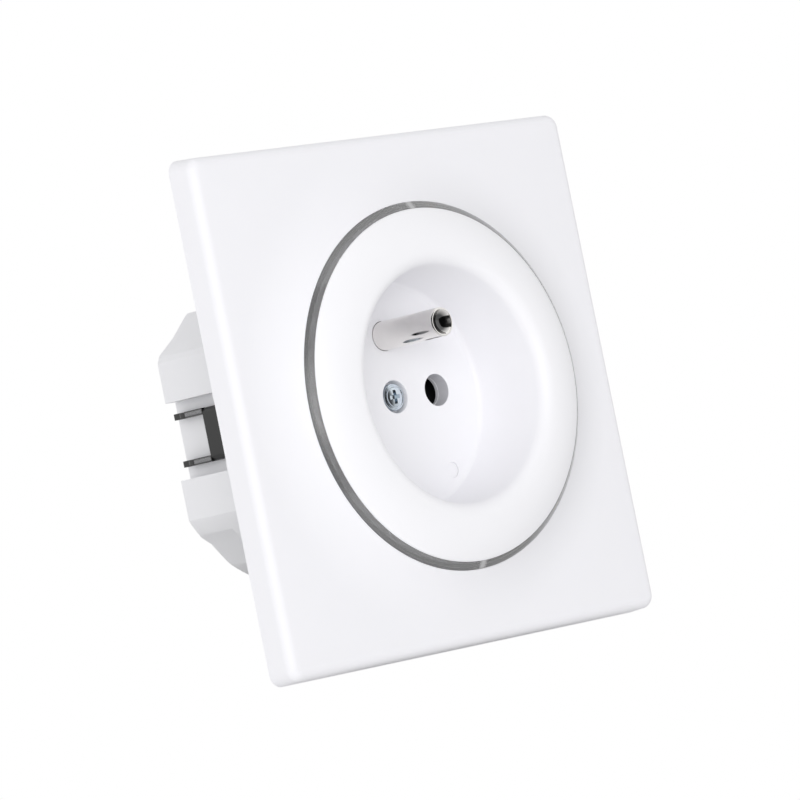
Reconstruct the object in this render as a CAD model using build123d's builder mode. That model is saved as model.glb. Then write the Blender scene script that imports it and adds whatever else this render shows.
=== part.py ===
from build123d import *
from math import atan2, cos, degrees, radians, sin, sqrt
import os

os.makedirs("parts", exist_ok=True)

# Wall socket with an earth pin: square cover, clear ring, round insert with a plug well, and the
# body that goes into the wall box. Millimetres. X to the right, Z up, the room at -Y.
# The wall is the plane y = 0, and the middle of the socket is the origin.

# Clearances
EASY = 0.2
CLOSE = 0.05
LOOSE = 0.4
RING_GAP = 0.1

# Cover frame
COVER_SIZE = 84.0
COVER_DEPTH = 5.3
COVER_SET_IN = 0.4
COVER_CORNER_R = 2.2
COVER_EDGE_R = 1.1
COVER_WALL = 2.1
COVER_SKIN = 1.9
COVER_LIP = 1.6
COVER_RIM = 2.5
PAD_R = 2.5
PAD_IN = 4.0

# Light ring: a sloped band, a flange under the insert's rim and a skirt over the light chips
RING_IN_R = 28.8
RING_WIDE = 1.15
RING_IN_Y = -9.55
RING_DROP = 1.05
RING_EDGE = 1.5
RING_FLANGE = 0.9
RING_FLANGE_WIDE = 1.8
RING_SKIRT = 0.5
RING_KEY = 3.0
RING_KEY_DEPTH = 1.4

# Socket insert
WELL_FLOOR_Y = 3.1
WELL_MOUTH_R = 19.35
WELL_DRAFT = 0.48
WELL_CORNER_R = 0.9
LIP_R = 2.25
LIP_CROWN_Y = -11.9
INSERT_SKIN = 1.8
FLOOR_THICK = 2.9

# Contacts and earth pin, as plugs of this kind need them
PIN_SPACING = 19.0
PIN_R = 2.4
EARTH_Z = 10.0
CONTACT_HOLE_R = 2.65
HOLE_STEP_R = 2.45
HOLE_STEP = 0.3
EARTH_LENGTH = 14.0
EARTH_SHANK_R = 2.15
EARTH_EDGE_R = 0.3
DIMPLE_R = 1.85
DIMPLE_DEPTH = 0.75
EARTH_FLANGE_R = 3.7
EARTH_FLANGE = 1.5
EARTH_STUB_R = 1.8
EARTH_RIVET_R = 2.5
EARTH_RIVET = 0.5

# Small round marks in the well floor
MARK_R = 1.3
MARK_DEPTH = 0.25
MARK_Z = -13.3

# Fixing screw and its threaded bush
FIX_HEAD_R = 2.2
FIX_HEAD = 1.15
FIX_DOME = 0.45
FIX_SINK = 0.75
FIX_R = 1.5
FIX_SHY = 0.55
FIX_TIP = 0.5
CROSS_WIDE = 0.7
CROSS_LONG = 2.6
CROSS_DEEP = 0.9
CROSS_TAPER = 12
SMALL_CROSS_WIDE = 0.6
SMALL_CROSS_LONG = 2.5
BUSH_R = 2.1
BUSH_LENGTH = 4.3

# Body behind the wall
CUP_WALL = 2.05
BODY_BULGE = 3.4
BODY_TOP_CUT = 6.3
BODY_TOP_R = 3.2
BODY_WALL = 1.8
BODY_EDGE_R = 0.5
STEP_AT = 42
STEP_WALL_TURN = -35
LOW_STEP = 0.82
LOW_RAMP_TURN = 129
TOP_STEP = 1.6
TOP_RAMP_TURN = 138
BASE_THICK = 5.0
PILLAR_R = 3.2
BOSS_R = 2.8
BOSS_Z = 12.0

# Shutter and its spring
SHUTTER_HALF = 14.3
SHUTTER_IN = 5.4
SHUTTER_LAP = 0.75
SHUTTER_BOTTOM = -8.0
SHUTTER_BAR_GAP = 1.2
SHUTTER_THICK = 3.2
SHUTTER_OPEN = 0.25
SHUTTER_GAP = 0.3
RAMP_DEEP = 2.8
RAMP_FOOT = -2.8
SPRING_R = 1.35
SPRING_WIRE_R = 0.2
SPRING_PITCH = 2.4
SPRING_LENGTH = 10.2
SPRING_PEG_R = 0.8
SPRING_PEG = 2.0

# Mounting plate
PLATE_SIZE = 71.0
PLATE_THICK = 1.2
PLATE_CORNER_R = 6.0
SLOT_SPACING = 60.0
SLOT_LONG = 7.0
SLOT_WIDE = 4.2
PLATE_SCREW_EDGE = 2.5
PLATE_SCREW_R = 1.2
PLATE_SCREW_HEAD_R = 2.2
PLATE_SCREW_LENGTH = 8.0

# Light board, chips and link pins
LIGHT_BOARD = 1.0
LIGHT_BOARD_SET = 0.8
LIGHT_BOARD_MARGIN = 0.85
LIGHT_NOTCH_HALF = 4.6
CHIP_COUNT = 12
CHIP_WIDE = 2.0
CHIP_DEEP = 1.4
CHIP_HIGH = 0.8
LINK_R = 0.4
LINK_X = 1.27
LINK_EDGE = 0.85
LINK_ROOM = 5.0
LINK_ROOM_UP = 1.0

# Power board and what stands on it
BOARD_THICK = 1.6
BOARD_SET = 2.3
RELAY = (20.0, 9.8, 11.4)
RELAY_Z = 12.5
RELAY_GAP = 0.7
RELAY_EDGE = 0.6
CAP_R = 4.0
CAP_AT = (8.6, -12.5)

# Contacts
LEAF_THICK = 0.8
LEAF_GAP_HALF = 2.45
LEAF_HALF = 3.0
LEAF_FLARE = 0.65
LEAF_MOUTH = 1.2
TAIL_LONG = 2.2
TAIL_HALF = 0.6

# Terminals
TERMINAL_SPACING = 10.0
TERMINAL_HALF = 3.0
TERMINAL_TOP = -13.5
TERMINAL_HIGH = 7.0
TERMINAL_DEEP = 5.8
TERMINAL_WALL = 0.95
TERMINAL_GAP = 0.3
WIRE_R = 2.2
CLAMP_R = 1.5
CLAMP_HEAD_R = 2.2
CLAMP_HEAD = 1.5
CLAMP_LENGTH = 2.6
STRAP_THICK = 0.8
STRAP_HALF = 3.2
STRAP_PAST = 3.2
STRAP_PLAY = 0.15
STRAP_END = 5.0

# Screws through the rear body
REAR_SCREW_R = 1.2
REAR_HEAD_R = 2.2
REAR_HEAD = 1.6
REAR_SINK = 2.0
REAR_GRIP = 6.8

# Claws: folded sheet, a web on the outside and two arms that end in teeth
CLAW_SHEET = 1.0
CLAW_HALF = 4.4
CLAW_BEND_R = 1.0
CLAW_EAR_R = 1.9
CLAW_EAR_FRONT = 225
CLAW_EAR_BACK = 25
CLAW_HEEL = 0.6
CLAW_WEB_SET = 2.0
CLAW_WEB_PAST = 3.4
CLAW_TIP_SHY = 1.0
CLAW_TIP_R = 0.8
CLAW_ARM_WIDE = 1.85
CLAW_NOTCH_SET = 2.3
CLAW_NOTCH = 0.8
CLAW_PIN_R = 0.75
CLAW_PIN_PLAY = 0.1
CLAW_PIN_HOLD = 1.2
CLAW_PIVOT_IN = 2.5
CLAW_SCREW_IN = 3.6
CLAW_SCREW_R = 1.5
CLAW_HEAD_R = 2.5
CLAW_HEAD = 1.9
FORK_SET = 3.0
FORK_LONG = 2.0
FORK_GAP = 0.3
NUT_WIDE = 4.2
NUT_THICK = 1.6
SEAT_WALL = 1.8
POCKET_GAP = 0.25
POCKET_SIDE = 0.8
POCKET_WALL = 1.4
CHANNEL_GAP = 0.35
CHANNEL_SIDE = 2.0

# Places across the socket, from the plug well outwards
PIN_X = PIN_SPACING / 2
WELL_FLOOR_R = WELL_MOUTH_R - WELL_DRAFT
INSERT_BORE_R = WELL_MOUTH_R + INSERT_SKIN + EASY
PLATE_HOLE_R = INSERT_BORE_R + EASY
PLATE_SCREW_AT = (PLATE_HOLE_R + PLATE_SCREW_EDGE) / sqrt(2)
LIGHT_BOARD_IN_R = PLATE_HOLE_R + LIGHT_BOARD_SET
LINK_Z = -LIGHT_BOARD_IN_R - LINK_EDGE
RING_OUT_R = RING_IN_R + RING_WIDE
RING_FLANGE_R = RING_IN_R - RING_FLANGE_WIDE
RING_SKIRT_R = RING_IN_R + RING_SKIRT
LIGHT_BOARD_OUT_R = RING_SKIRT_R + LIGHT_BOARD_MARGIN
LIGHT_NOTCH_X = SLOT_SPACING / 2 - SLOT_LONG / 2 - EASY / 2
COVER_LIP_R = RING_SKIRT_R + EASY
COVER_MOUTH_R = RING_OUT_R + RING_GAP
MOUND_FOOT_R = COVER_SIZE / 2 - COVER_RIM
INSERT_R = RING_IN_R - RING_GAP
FIX_RECESS_R = FIX_HEAD_R + LOOSE
PAD_AT = PLATE_SIZE / 2 - PAD_IN
BODY_HALF = INSERT_BORE_R + CUP_WALL
BODY_R = BODY_HALF + BODY_BULGE
BODY_TOP_Z = BODY_R - BODY_TOP_CUT
BOSS_X = TERMINAL_SPACING + TERMINAL_HALF + BOSS_R + EASY
CLAW_OUT_X = EASY - BODY_HALF
CLAW_ARM_IN_X = CLAW_OUT_X + CLAW_ARM_WIDE
CLAW_SCREW_X = CLAW_OUT_X + CLAW_SCREW_IN
CLAW_PIVOT_X = CLAW_SCREW_X + CLAW_PIVOT_IN
CHANNEL_X = CLAW_ARM_IN_X + CHANNEL_GAP
POCKET_IN_X = CLAW_PIVOT_X + CLAW_EAR_R + POCKET_GAP
POCKET_HALF = CLAW_HALF + POCKET_SIDE
CHANNEL_HALF = CLAW_HALF + CHANNEL_SIDE
CLAW_PIN_HALF = POCKET_HALF + CLAW_PIN_HOLD
SHUTTER_TOP = CONTACT_HOLE_R + SHUTTER_LAP
SHUTTER_BAR_TOP = -PILLAR_R - SHUTTER_BAR_GAP
SHUTTER_TRAVEL = SHUTTER_TOP + CONTACT_HOLE_R + SHUTTER_OPEN
POCKET_BOTTOM_Z = SHUTTER_BOTTOM - SHUTTER_TRAVEL - LOOSE
SPRING_SEAT_Z = SHUTTER_BOTTOM - SPRING_LENGTH
TERMINAL_BOTTOM = TERMINAL_TOP - TERMINAL_HIGH
WIRE_Z = TERMINAL_TOP - TERMINAL_HIGH / 2
CLAMP_TIP_Z = TERMINAL_BOTTOM + CLAMP_LENGTH
CLAMP_ACCESS_R = CLAMP_HEAD_R + LOOSE
STRAP_TOP_Z = EARTH_Z + STRAP_PAST
STRAP_LEG_Z = TERMINAL_TOP - TERMINAL_WALL - STRAP_PLAY
STRAP_LEG_HALF = TERMINAL_HALF - TERMINAL_WALL - EASY - CLOSE

# Places in depth, from the cover to the back
RING_OUT_Y = RING_IN_Y + RING_DROP
MOUND_TOP_Y = RING_OUT_Y - RING_GAP
RING_SEAT_Y = RING_OUT_Y + RING_EDGE
RIM_Y = RING_SEAT_Y - RING_FLANGE
COVER_LIP_BACK_Y = RING_SEAT_Y + COVER_LIP
COVER_UNDER_Y = COVER_SKIN - COVER_DEPTH
PLATE_Y = -PLATE_THICK
LIGHT_Y = PLATE_Y - LIGHT_BOARD
CHIP_Y = LIGHT_Y - CHIP_HIGH
BASE_Y = WELL_FLOOR_Y + FLOOR_THICK
BASE_BACK_Y = BASE_Y + BASE_THICK
FIX_TIP_Y = BASE_BACK_Y - FIX_SHY
SHUTTER_Y = BASE_Y + SHUTTER_GAP
SHUTTER_POCKET_Y = SHUTTER_Y + SHUTTER_THICK + SHUTTER_GAP
SHUTTER_MID_Y = SHUTTER_Y + SHUTTER_THICK / 2
LEAF_FRONT_Y = BASE_BACK_Y + LOOSE
RELAY_Y = BASE_BACK_Y + STRAP_THICK + EARTH_RIVET + RELAY_GAP
BOARD_Y = RELAY_Y + RELAY[1]
BOARD_BACK_Y = BOARD_Y + BOARD_THICK
BODY_SPLIT_Y = BOARD_Y - BOARD_SET
CLAMP_Y = BOARD_BACK_Y + TERMINAL_DEEP / 2
STRAP_END_Y = BOARD_BACK_Y + STRAP_END
BACK_WALL_Y = BOARD_BACK_Y + TERMINAL_DEEP + TERMINAL_GAP
BODY_BACK_Y = BACK_WALL_Y + BODY_WALL
REAR_SCREW_TIP_Y = BOARD_Y - REAR_GRIP
CLAW_HEAD_Y = BASE_Y + EASY
CLAW_SEAT_Y = CLAW_HEAD_Y + CLAW_HEAD
POCKET_FRONT_Y = CLAW_SEAT_Y + SEAT_WALL
CLAW_PIVOT_Y = POCKET_FRONT_Y + CLAW_EAR_R + EASY
CLAW_WEB_FRONT_Y = CLAW_PIVOT_Y + CLAW_WEB_SET
CLAW_WEB_BACK_Y = BODY_SPLIT_Y + CLAW_WEB_PAST
CLAW_TIP_Y = BODY_BACK_Y - CLAW_TIP_SHY
CLAW_NOTCH_Y = CLAW_TIP_Y - CLAW_NOTCH_SET
FORK_Y = BODY_SPLIT_Y - FORK_SET
NUT_Y = FORK_Y + CLAW_SHEET + CLOSE

SIDES = (-1, 1)
SCREW_SPOTS = [(sx * BOSS_X, sz * BOSS_Z) for sx in SIDES for sz in SIDES]
PLATE_SPOTS = [(sx * PLATE_SCREW_AT, sz * PLATE_SCREW_AT) for sx in SIDES for sz in SIDES]
TERMINAL_X = (-TERMINAL_SPACING, 0.0, TERMINAL_SPACING)


def depth(y):
    """Sketch plane at depth y, facing the room; its own axes are X and Z."""
    return Plane.XZ.offset(-y)


def block(xs, ys, zs, mode=Mode.ADD):
    """Box between two places on each axis."""
    with Locations(((xs[0] + xs[1]) / 2, (ys[0] + ys[1]) / 2, (zs[0] + zs[1]) / 2)):
        Box(abs(xs[1] - xs[0]), abs(ys[1] - ys[0]), abs(zs[1] - zs[0]), mode=mode)


def rod(x, z, r, y0, y1, mode=Mode.ADD):
    """Cylinder along Y at (x, z), from y0 to y1."""
    with Locations(Location((x, (y0 + y1) / 2, z), (90, 0, 0))):
        Cylinder(r, abs(y1 - y0), mode=mode)


def dome(r, rise, y):
    """Three points of a domed end of radius r, from its middle at depth y; hollow if rise is below 0."""
    ball = (r**2 + rise**2) / (2 * rise)
    return (0, y), (r / 2, y + ball * (1 - sqrt(1 - (r / 2 / ball) ** 2))), (r, y + rise)


def cross(long, wide):
    """Outline of a cross recess."""
    Rectangle(long, wide)
    Rectangle(wide, long)


def save(builder, name):
    """Name the piece and write its file."""
    builder.part.label = name
    export_step(builder.part, f"parts/{name}.step")


# Cover frame: a drafted square shell, with a dished mound that climbs to the ring
cover_taper = degrees(atan2(COVER_SET_IN, COVER_DEPTH))
mound_run = MOUND_FOOT_R - COVER_MOUTH_R
mound_rise = -MOUND_TOP_Y - COVER_DEPTH
mound_r = (mound_run**2 + mound_rise**2) / (2 * mound_rise)
mound_half_turn = atan2(mound_rise, mound_run)
mound_mid = (
    MOUND_FOOT_R - mound_r * sin(mound_half_turn),
    -COVER_DEPTH - mound_r * (1 - cos(mound_half_turn)),
)
room_out_r = MOUND_FOOT_R - COVER_SKIN
room_in_r = COVER_MOUTH_R + COVER_SKIN
with BuildPart() as cover_frame:
    with BuildSketch(depth(0)):
        RectangleRounded(COVER_SIZE, COVER_SIZE, COVER_CORNER_R)
    extrude(amount=COVER_DEPTH, taper=cover_taper)
    fillet(cover_frame.faces().sort_by(Axis.Y)[0].edges(), COVER_EDGE_R)
    with BuildSketch(Plane.XY):
        with BuildLine():
            ThreePointArc((MOUND_FOOT_R, -COVER_DEPTH), mound_mid, (COVER_MOUTH_R, MOUND_TOP_Y))
            Polyline(
                (COVER_MOUTH_R, MOUND_TOP_Y),
                (COVER_MOUTH_R, COVER_UNDER_Y),
                (MOUND_FOOT_R, COVER_UNDER_Y),
                (MOUND_FOOT_R, -COVER_DEPTH),
            )
        mound_face = make_face()
        fillet(mound_face.vertices().sort_by(Axis.Y)[0], EASY)
    revolve(axis=Axis.Y)
    with BuildSketch(depth(0)):
        RectangleRounded(COVER_SIZE - 2 * COVER_WALL, COVER_SIZE - 2 * COVER_WALL, COVER_CORNER_R)
    extrude(amount=-COVER_UNDER_Y, mode=Mode.SUBTRACT)
    # Room under the mound, then the lip that carries the light ring
    with BuildSketch(Plane.XY):
        with BuildLine():
            Polyline(
                (0, COVER_UNDER_Y + EASY),
                (room_out_r, COVER_UNDER_Y + EASY),
                (room_in_r + (room_out_r - room_in_r) / 4, COVER_UNDER_Y - mound_rise / 4),
                (room_in_r, COVER_LIP_BACK_Y),
                (0, COVER_LIP_BACK_Y),
                close=True,
            )
        make_face()
    revolve(axis=Axis.Y, mode=Mode.SUBTRACT)
    with BuildSketch(Plane.XY):
        with BuildLine():
            Polyline(
                (COVER_MOUTH_R, RING_SEAT_Y),
                (room_in_r, RING_SEAT_Y),
                (room_in_r, COVER_LIP_BACK_Y),
                (COVER_LIP_R, COVER_LIP_BACK_Y),
                (COVER_LIP_R, RING_SEAT_Y),
                close=True,
            )
        make_face()
    revolve(axis=Axis.Y)
    rod(0, 0, COVER_LIP_R, COVER_LIP_BACK_Y, LIP_CROWN_Y, Mode.SUBTRACT)
    rod(0, 0, COVER_MOUTH_R, RING_SEAT_Y, LIP_CROWN_Y, Mode.SUBTRACT)
    for pad_x in (-PAD_AT, PAD_AT):
        for pad_z in (-PAD_AT, PAD_AT):
            rod(pad_x, pad_z, PAD_R, PLATE_Y, COVER_UNDER_Y - CLOSE)
save(cover_frame, "cover_frame")

# Light ring
with BuildPart() as light_ring:
    with BuildSketch(Plane.XY):
        with BuildLine():
            Polyline(
                (RING_IN_R, RING_IN_Y),
                (RING_OUT_R, RING_OUT_Y),
                (RING_OUT_R, RING_SEAT_Y),
                (RING_SKIRT_R, RING_SEAT_Y),
                (RING_SKIRT_R, CHIP_Y - EASY),
                (RING_IN_R, CHIP_Y - EASY),
                (RING_IN_R, RING_SEAT_Y),
                (RING_FLANGE_R, RING_SEAT_Y),
                (RING_FLANGE_R, RIM_Y),
                (RING_IN_R, RIM_Y),
                close=True,
            )
        make_face()
    revolve(axis=Axis.Y)
    # Keys cut in the skirt at the four quarters
    for key_x, key_z in ((RING_IN_R, 0), (-RING_IN_R, 0), (0, RING_IN_R), (0, -RING_IN_R)):
        block(
            (key_x - RING_KEY / 2, key_x + RING_KEY / 2),
            (CHIP_Y - EASY - RING_KEY_DEPTH, CHIP_Y),
            (key_z - RING_KEY / 2, key_z + RING_KEY / 2),
            Mode.SUBTRACT,
        )
save(light_ring, "light_ring")

# Socket insert: rolled lip, plug well and floor turned as one skin
lip_mid_x = WELL_MOUTH_R + LIP_R
lip_mid_y = LIP_CROWN_Y + LIP_R
face_run = INSERT_R - lip_mid_x
face_drop = RING_IN_Y - LIP_CROWN_Y
face_r = (face_run**2 + face_drop**2) / (2 * face_drop)
face_y = LIP_CROWN_Y + face_r


def on_face(r, inset):
    """Depth of the lip's outer face, or of its inside, at radius r."""
    return face_y - sqrt((face_r - inset) ** 2 - (r - lip_mid_x) ** 2)


half_face = lip_mid_x + face_run / 2
half_under = (lip_mid_x + RING_FLANGE_R) / 2
lip_diag = radians(45)
under_r = LIP_R - INSERT_SKIN
with BuildPart() as socket_insert:
    with BuildSketch(Plane.XY):
        with BuildLine():
            Polyline((0, BASE_Y), (0, WELL_FLOOR_Y), (WELL_FLOOR_R - WELL_CORNER_R, WELL_FLOOR_Y))
            ThreePointArc(
                (WELL_FLOOR_R - WELL_CORNER_R, WELL_FLOOR_Y),
                (
                    WELL_FLOOR_R - WELL_CORNER_R * (1 - sin(lip_diag)),
                    WELL_FLOOR_Y - WELL_CORNER_R * (1 - cos(lip_diag)),
                ),
                (WELL_FLOOR_R, WELL_FLOOR_Y - WELL_CORNER_R),
            )
            Line((WELL_FLOOR_R, WELL_FLOOR_Y - WELL_CORNER_R), (WELL_MOUTH_R, lip_mid_y))
            ThreePointArc(
                (WELL_MOUTH_R, lip_mid_y),
                (lip_mid_x - LIP_R * cos(lip_diag), lip_mid_y - LIP_R * sin(lip_diag)),
                (lip_mid_x, LIP_CROWN_Y),
            )
            ThreePointArc(
                (lip_mid_x, LIP_CROWN_Y),
                (half_face, on_face(half_face, 0)),
                (INSERT_R, RING_IN_Y),
            )
            Polyline(
                (INSERT_R, RING_IN_Y),
                (INSERT_R, RIM_Y),
                (RING_FLANGE_R, RIM_Y),
                (RING_FLANGE_R, on_face(RING_FLANGE_R, INSERT_SKIN)),
            )
            ThreePointArc(
                (RING_FLANGE_R, on_face(RING_FLANGE_R, INSERT_SKIN)),
                (half_under, on_face(half_under, INSERT_SKIN)),
                (lip_mid_x, LIP_CROWN_Y + INSERT_SKIN),
            )
            ThreePointArc(
                (lip_mid_x, LIP_CROWN_Y + INSERT_SKIN),
                (lip_mid_x - under_r * cos(lip_diag), lip_mid_y - under_r * sin(lip_diag)),
                (lip_mid_x - under_r, lip_mid_y),
            )
            Polyline(
                (lip_mid_x - under_r, lip_mid_y),
                (WELL_FLOOR_R + INSERT_SKIN, BASE_Y),
                (0, BASE_Y),
            )
        make_face()
    revolve(axis=Axis.Y)
    for side in SIDES:
        rod(side * PIN_X, 0, CONTACT_HOLE_R, WELL_FLOOR_Y - LOOSE, BASE_Y - HOLE_STEP, Mode.SUBTRACT)
        rod(side * PIN_X, 0, HOLE_STEP_R, WELL_FLOOR_Y, BASE_Y + LOOSE, Mode.SUBTRACT)
        rod(side * PIN_X, MARK_Z, MARK_R, WELL_FLOOR_Y - LOOSE, WELL_FLOOR_Y + MARK_DEPTH, Mode.SUBTRACT)
    rod(0, 0, FIX_RECESS_R, WELL_FLOOR_Y - LOOSE, WELL_FLOOR_Y + FIX_SINK + FIX_HEAD, Mode.SUBTRACT)
    rod(0, 0, FIX_R + EASY, WELL_FLOOR_Y, BASE_Y + LOOSE, Mode.SUBTRACT)
    rod(0, EARTH_Z, PIN_R + EASY / 2, WELL_FLOOR_Y - LOOSE, BASE_Y + LOOSE, Mode.SUBTRACT)
save(socket_insert, "socket_insert")

# Fixing screw: raised head with a cross recess
fix_head_y = WELL_FLOOR_Y + FIX_SINK
fix_seat_y = fix_head_y + FIX_HEAD
with BuildPart() as fixing_screw:
    with BuildSketch(Plane.XY):
        with BuildLine():
            ThreePointArc(*dome(FIX_HEAD_R, FIX_DOME, fix_head_y))
            Polyline(
                (FIX_HEAD_R, fix_head_y + FIX_DOME),
                (FIX_HEAD_R, fix_seat_y),
                (FIX_R, fix_seat_y),
                (FIX_R, FIX_TIP_Y - FIX_TIP),
                (FIX_R - FIX_TIP, FIX_TIP_Y),
                (0, FIX_TIP_Y),
                (0, fix_head_y),
            )
        make_face()
    revolve(axis=Axis.Y)
    with BuildSketch(depth(fix_head_y - CLOSE)):
        cross(CROSS_LONG, CROSS_WIDE)
    extrude(amount=-CROSS_DEEP - CLOSE, taper=CROSS_TAPER, mode=Mode.SUBTRACT)
save(fixing_screw, "fixing_screw")

# Threaded bush, let into the front body from behind
with BuildPart() as fixing_nut:
    rod(0, 0, BUSH_R, BASE_BACK_Y - BUSH_LENGTH, BASE_BACK_Y)
    rod(0, 0, FIX_R + CLOSE, BASE_BACK_Y - BUSH_LENGTH, BASE_BACK_Y, Mode.SUBTRACT)
save(fixing_nut, "fixing_nut")

# Earth pin: a dimple in its end, a flange behind the floor and a riveted stub for the strap
earth_tip_y = WELL_FLOOR_Y - EARTH_LENGTH
earth_edge_in = EARTH_EDGE_R * (1 - sin(radians(45)))
with BuildPart() as earth_pin:
    with BuildSketch(Plane.XY.offset(EARTH_Z)):
        with BuildLine():
            ThreePointArc(*dome(DIMPLE_R, -DIMPLE_DEPTH, earth_tip_y + DIMPLE_DEPTH))
            Line((DIMPLE_R, earth_tip_y), (PIN_R - EARTH_EDGE_R, earth_tip_y))
            ThreePointArc(
                (PIN_R - EARTH_EDGE_R, earth_tip_y),
                (PIN_R - earth_edge_in, earth_tip_y + earth_edge_in),
                (PIN_R, earth_tip_y + EARTH_EDGE_R),
            )
            Polyline(
                (PIN_R, earth_tip_y + EARTH_EDGE_R),
                (PIN_R, WELL_FLOOR_Y - EASY / 2),
                (EARTH_SHANK_R, WELL_FLOOR_Y - EASY / 2),
                (EARTH_SHANK_R, BASE_Y),
                (EARTH_FLANGE_R, BASE_Y),
                (EARTH_FLANGE_R, BASE_Y + EARTH_FLANGE),
                (EARTH_SHANK_R, BASE_Y + EARTH_FLANGE),
                (EARTH_SHANK_R, BASE_BACK_Y),
                (EARTH_STUB_R, BASE_BACK_Y),
                (EARTH_STUB_R, BASE_BACK_Y + STRAP_THICK),
                (EARTH_RIVET_R, BASE_BACK_Y + STRAP_THICK),
                (EARTH_RIVET_R - EARTH_RIVET / 2, BASE_BACK_Y + STRAP_THICK + EARTH_RIVET),
                (0, BASE_BACK_Y + STRAP_THICK + EARTH_RIVET),
                (0, earth_tip_y + DIMPLE_DEPTH),
            )
        make_face()
    revolve(axis=Axis((0, 0, EARTH_Z), (0, 1, 0)))
save(earth_pin, "earth_pin")

# Shutter: two ramped blocks joined by a bar below the screw pillar
with BuildPart() as shutter:
    with BuildSketch(depth(SHUTTER_Y)):
        with BuildLine():
            Polyline(
                (-SHUTTER_HALF, SHUTTER_TOP),
                (-SHUTTER_IN, SHUTTER_TOP),
                (-SHUTTER_IN, SHUTTER_BAR_TOP),
                (SHUTTER_IN, SHUTTER_BAR_TOP),
                (SHUTTER_IN, SHUTTER_TOP),
                (SHUTTER_HALF, SHUTTER_TOP),
                (SHUTTER_HALF, SHUTTER_BOTTOM),
                (-SHUTTER_HALF, SHUTTER_BOTTOM),
                close=True,
            )
        make_face()
    extrude(amount=-SHUTTER_THICK)
    with BuildSketch(Plane.YZ):
        with BuildLine():
            Polyline(
                (SHUTTER_Y, SHUTTER_TOP),
                (SHUTTER_Y + RAMP_DEEP, SHUTTER_TOP),
                (SHUTTER_Y, RAMP_FOOT),
                close=True,
            )
        make_face()
    extrude(amount=SHUTTER_HALF, both=True, mode=Mode.SUBTRACT)
    with Locations((0, SHUTTER_MID_Y, SHUTTER_BOTTOM - SPRING_PEG / 2)):
        Cylinder(SPRING_PEG_R, SPRING_PEG)
save(shutter, "shutter")

# Return spring
spring_foot = SPRING_SEAT_Z + SPRING_WIRE_R
with BuildPart() as shutter_spring:
    with BuildLine() as coil:
        Helix(
            SPRING_PITCH,
            SPRING_LENGTH - 2 * SPRING_WIRE_R,
            SPRING_R,
            center=(0, SHUTTER_MID_Y, spring_foot),
        )
    with BuildSketch(Plane(coil.line @ 0, z_dir=coil.line % 0)):
        RegularPolygon(SPRING_WIRE_R, 6)
    sweep(path=coil.line, is_frenet=True)
save(shutter_spring, "shutter_spring")

# Mounting plate: wall slots, countersunk holes, and room for the insert and the claw screws
with BuildPart() as mounting_plate:
    with BuildSketch(depth(0)):
        RectangleRounded(PLATE_SIZE, PLATE_SIZE, PLATE_CORNER_R)
        Circle(PLATE_HOLE_R, mode=Mode.SUBTRACT)
        with Locations((-SLOT_SPACING / 2, 0), (SLOT_SPACING / 2, 0)):
            SlotOverall(SLOT_LONG, SLOT_WIDE, mode=Mode.SUBTRACT)
        with Locations((CLAW_SCREW_X, 0), (-CLAW_SCREW_X, 0)):
            Circle(CLAW_HEAD_R + LOOSE, mode=Mode.SUBTRACT)
        with Locations((0, LINK_Z + LINK_ROOM_UP)):
            Rectangle(LINK_ROOM, LINK_ROOM, mode=Mode.SUBTRACT)
    extrude(amount=PLATE_THICK)
    with Locations(depth(PLATE_Y)):
        with Locations(*PLATE_SPOTS):
            CounterSinkHole(PLATE_SCREW_R + EASY / 2, PLATE_SCREW_HEAD_R + EASY / 2)
save(mounting_plate, "mounting_plate")

# Countersunk screws that hold the plate to the front body
with BuildPart() as plate_screws:
    for spot_x, spot_z in PLATE_SPOTS:
        with BuildSketch(Plane.XY.offset(spot_z)):
            with BuildLine():
                Polyline(
                    (spot_x, PLATE_Y + CLOSE),
                    (spot_x + PLATE_SCREW_HEAD_R, PLATE_Y + CLOSE),
                    (spot_x + PLATE_SCREW_R, PLATE_Y + CLOSE + PLATE_SCREW_HEAD_R - PLATE_SCREW_R),
                    (spot_x + PLATE_SCREW_R, PLATE_Y + PLATE_SCREW_LENGTH),
                    (spot_x, PLATE_Y + PLATE_SCREW_LENGTH + PLATE_SCREW_R / 2),
                    close=True,
                )
            make_face()
        revolve(axis=Axis((spot_x, 0, spot_z), (0, 1, 0)))
    with BuildSketch(depth(PLATE_Y)):
        with Locations(*PLATE_SPOTS):
            cross(SMALL_CROSS_LONG, SMALL_CROSS_WIDE)
    extrude(amount=-CROSS_DEEP, taper=CROSS_TAPER, mode=Mode.SUBTRACT)
save(plate_screws, "plate_screws")

# Ring board with its light chips, clear of the wall screws' heads
with BuildPart() as light_board:
    with BuildSketch(depth(PLATE_Y)):
        Circle(LIGHT_BOARD_OUT_R)
        Circle(LIGHT_BOARD_IN_R, mode=Mode.SUBTRACT)
        for side in SIDES:
            with Locations((side * (LIGHT_NOTCH_X + PLATE_SIZE / 2) / 2, 0)):
                Rectangle(PLATE_SIZE / 2 - LIGHT_NOTCH_X, 2 * LIGHT_NOTCH_HALF, mode=Mode.SUBTRACT)
        with Locations((-LINK_X, LINK_Z), (LINK_X, LINK_Z)):
            Circle(LINK_R + CLOSE, mode=Mode.SUBTRACT)
    extrude(amount=LIGHT_BOARD)
save(light_board, "light_board")

with BuildPart() as light_chips:
    with BuildSketch(depth(LIGHT_Y)):
        with PolarLocations(RING_IN_R + RING_SKIRT / 2, CHIP_COUNT, start_angle=180 / CHIP_COUNT):
            Rectangle(CHIP_DEEP, CHIP_WIDE)
    extrude(amount=CHIP_HIGH)
save(light_chips, "light_chips")

with BuildPart() as link_pins:
    for side in SIDES:
        rod(side * LINK_X, LINK_Z, LINK_R, LIGHT_Y - EASY, BOARD_BACK_Y + EASY)
save(link_pins, "link_pins")


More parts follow.
